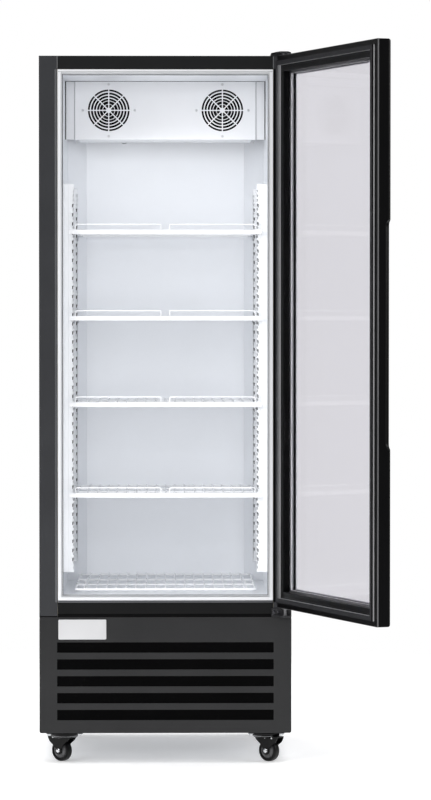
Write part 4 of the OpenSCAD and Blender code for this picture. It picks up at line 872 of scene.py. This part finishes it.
floor_pale = finish("floor_pale", floor_white, rough=0.8, grain=60.0, height=0.0001, spread=0.01, soften=0.0)
nodes, links = floor_pale.node_tree.nodes, floor_pale.node_tree.links
nodes["Principled BSDF"].inputs["Emission Color"].default_value = (1, 1, 1, 1)
nodes["Principled BSDF"].inputs["Emission Strength"].default_value = floor_glow
place = nodes.new("ShaderNodeTexCoord")
away = nodes.new("ShaderNodeVectorMath")
away.operation = "LENGTH"
links.new(place.outputs["Object"], away.inputs[0])
fade = nodes.new("ShaderNodeMapRange")
fade.interpolation_type = "SMOOTHSTEP"
fade.inputs["From Min"].default_value = floor_clear_from
fade.inputs["From Max"].default_value = floor_clear_to
links.new(away.outputs["Value"], fade.inputs["Value"])
clear_air = nodes.new("ShaderNodeBsdfTransparent")
both = nodes.new("ShaderNodeMixShader")
links.new(fade.outputs["Result"], both.inputs["Fac"])
links.new(nodes["Principled BSDF"].outputs["BSDF"], both.inputs[1])
links.new(clear_air.outputs["BSDF"], both.inputs[2])
links.new(both.outputs["Shader"], nodes["Material Output"].inputs["Surface"])
made = bmesh.new()
bmesh.ops.create_grid(made, x_segments=16, y_segments=16, size=floor_reach)
mesh = bpy.data.meshes.new("floor")
made.to_mesh(mesh)
made.free()
mesh.materials.append(floor_pale)
floor = bpy.data.objects.new("floor", mesh)
bpy.context.scene.collection.objects.link(floor)

# Sky
# White behind the machine and dimmer on the viewer's side, darkest at the front right, so that
# black pieces stay black and still get soft highlights. What gloss mirrors of it is capped.

sky_in_gloss, sky_dim, sky_bright = 0.22, 0.22, 0.86
brightest_way, dim_from, bright_from = (-0.30, 0.90, 0.30), -0.95, 0.75

sky = bpy.data.worlds.new("sky")
sky.use_nodes = True
nodes, links = sky.node_tree.nodes, sky.node_tree.links
place = nodes.new("ShaderNodeTexCoord")
turn = nodes.new("ShaderNodeVectorMath")
turn.operation = "DOT_PRODUCT"
turn.inputs[1].default_value = brightest_way
links.new(place.outputs["Generated"], turn.inputs[0])
dim = nodes.new("ShaderNodeMapRange")
dim.interpolation_type = "SMOOTHSTEP"
dim.inputs["From Min"].default_value = dim_from
dim.inputs["From Max"].default_value = bright_from
dim.inputs["To Min"].default_value = sky_dim
dim.inputs["To Max"].default_value = sky_bright
links.new(turn.outputs["Value"], dim.inputs["Value"])
path = nodes.new("ShaderNodeLightPath")
capped = nodes.new("ShaderNodeMath")
capped.operation = "MINIMUM"
capped.inputs[1].default_value = sky_in_gloss
links.new(dim.outputs["Result"], capped.inputs[0])
gloss_only = nodes.new("ShaderNodeMath")
gloss_only.operation = "SUBTRACT"
gloss_only.use_clamp = True
links.new(path.outputs["Is Glossy Ray"], gloss_only.inputs[0])
links.new(path.outputs["Is Transmission Ray"], gloss_only.inputs[1])
mirrored = nodes.new("ShaderNodeMix")
links.new(gloss_only.outputs["Value"], mirrored.inputs["Factor"])
links.new(dim.outputs["Result"], mirrored.inputs["A"])
links.new(capped.outputs["Value"], mirrored.inputs["B"])
shown = nodes.new("ShaderNodeMix")
shown.inputs["B"].default_value = 1.0
links.new(path.outputs["Is Camera Ray"], shown.inputs["Factor"])
links.new(mirrored.outputs["Result"], shown.inputs["A"])
links.new(shown.outputs["Result"], nodes["Background"].inputs["Strength"])
nodes["Background"].inputs["Color"].default_value = (1, 1, 1, 1)
bpy.context.scene.world = sky
bpy.context.scene.view_settings.view_transform = "Standard"

# Lights
# A broad light from above, two large soft lights at the sides, and three fills that aren't seen
# themselves: one from the front, and weak ones in the opening and below the evaporator cover.

overhead_power, overhead_spread = 1.9, 70

overhead = bpy.data.lights.new("overhead", "SUN")
overhead.energy = overhead_power
overhead.angle = math.radians(overhead_spread)
piece = bpy.data.objects.new("overhead", overhead)
piece.visible_glossy = False
bpy.context.scene.collection.objects.link(piece)


def soft_light(name, at, towards, size, power, seen=True):
    """A rectangular light that faces a point. An unseen one isn't in the picture or in reflections."""
    lamp = bpy.data.lights.new(name, "AREA")
    lamp.shape = "RECTANGLE"
    lamp.size, lamp.size_y = size
    lamp.energy = power
    piece = bpy.data.objects.new(name, lamp)
    piece.matrix_world = Matrix.Translation(at) @ turned_to(Vector(at) - Vector(towards))
    piece.visible_camera = False
    piece.visible_glossy = seen
    bpy.context.scene.collection.objects.link(piece)


soft_light("left_softbox", at=(-3.6, -4.2, 3.2), towards=(0, 0, 1.0), size=(2.2, 2.2), power=110.0)
soft_light("right_softbox", at=(4.8, -1.2, 2.6), towards=(0, 0, 1.0), size=(1.6, 2.2), power=60.0)
soft_light("front_fill", at=(0.0, -7.5, 1.9), towards=(0, 0.3, 1.1), size=(1.8, 1.8), power=205.0,
           seen=False)
soft_light("opening_fill", at=(0.0, -0.326, 1.165), towards=(0, 0.3, 1.165), size=(0.53, 1.40), power=0.80,
           seen=False)
soft_light("cover_fill", at=(0.0, -0.06, 1.62), towards=(0, 0.3, 1.70), size=(0.42, 0.16), power=0.26,
           seen=False)

# Camera
# A long lens at chest height, straight before the cabinet and ten metres away. It looks a little
# to the right, so that the open door comes into the frame.

viewpoint, aim = Vector((0.0, -10.371, 1.233)), Vector((0.137, -0.360, 0.9967))
lens_mm, film_height_mm, far_clip = 164.8, 36.0, 100.0

camera = bpy.data.cameras.new("camera")
camera.sensor_fit = "VERTICAL"
camera.sensor_height = film_height_mm
camera.lens = lens_mm
camera.clip_end = far_clip
shot = bpy.data.objects.new("camera", camera)
look = (aim - viewpoint).to_track_quat("-Z", "Y").to_matrix().to_4x4()
shot.matrix_world = Matrix.Translation(viewpoint) @ look
bpy.context.scene.collection.objects.link(shot)
bpy.context.scene.camera = shot
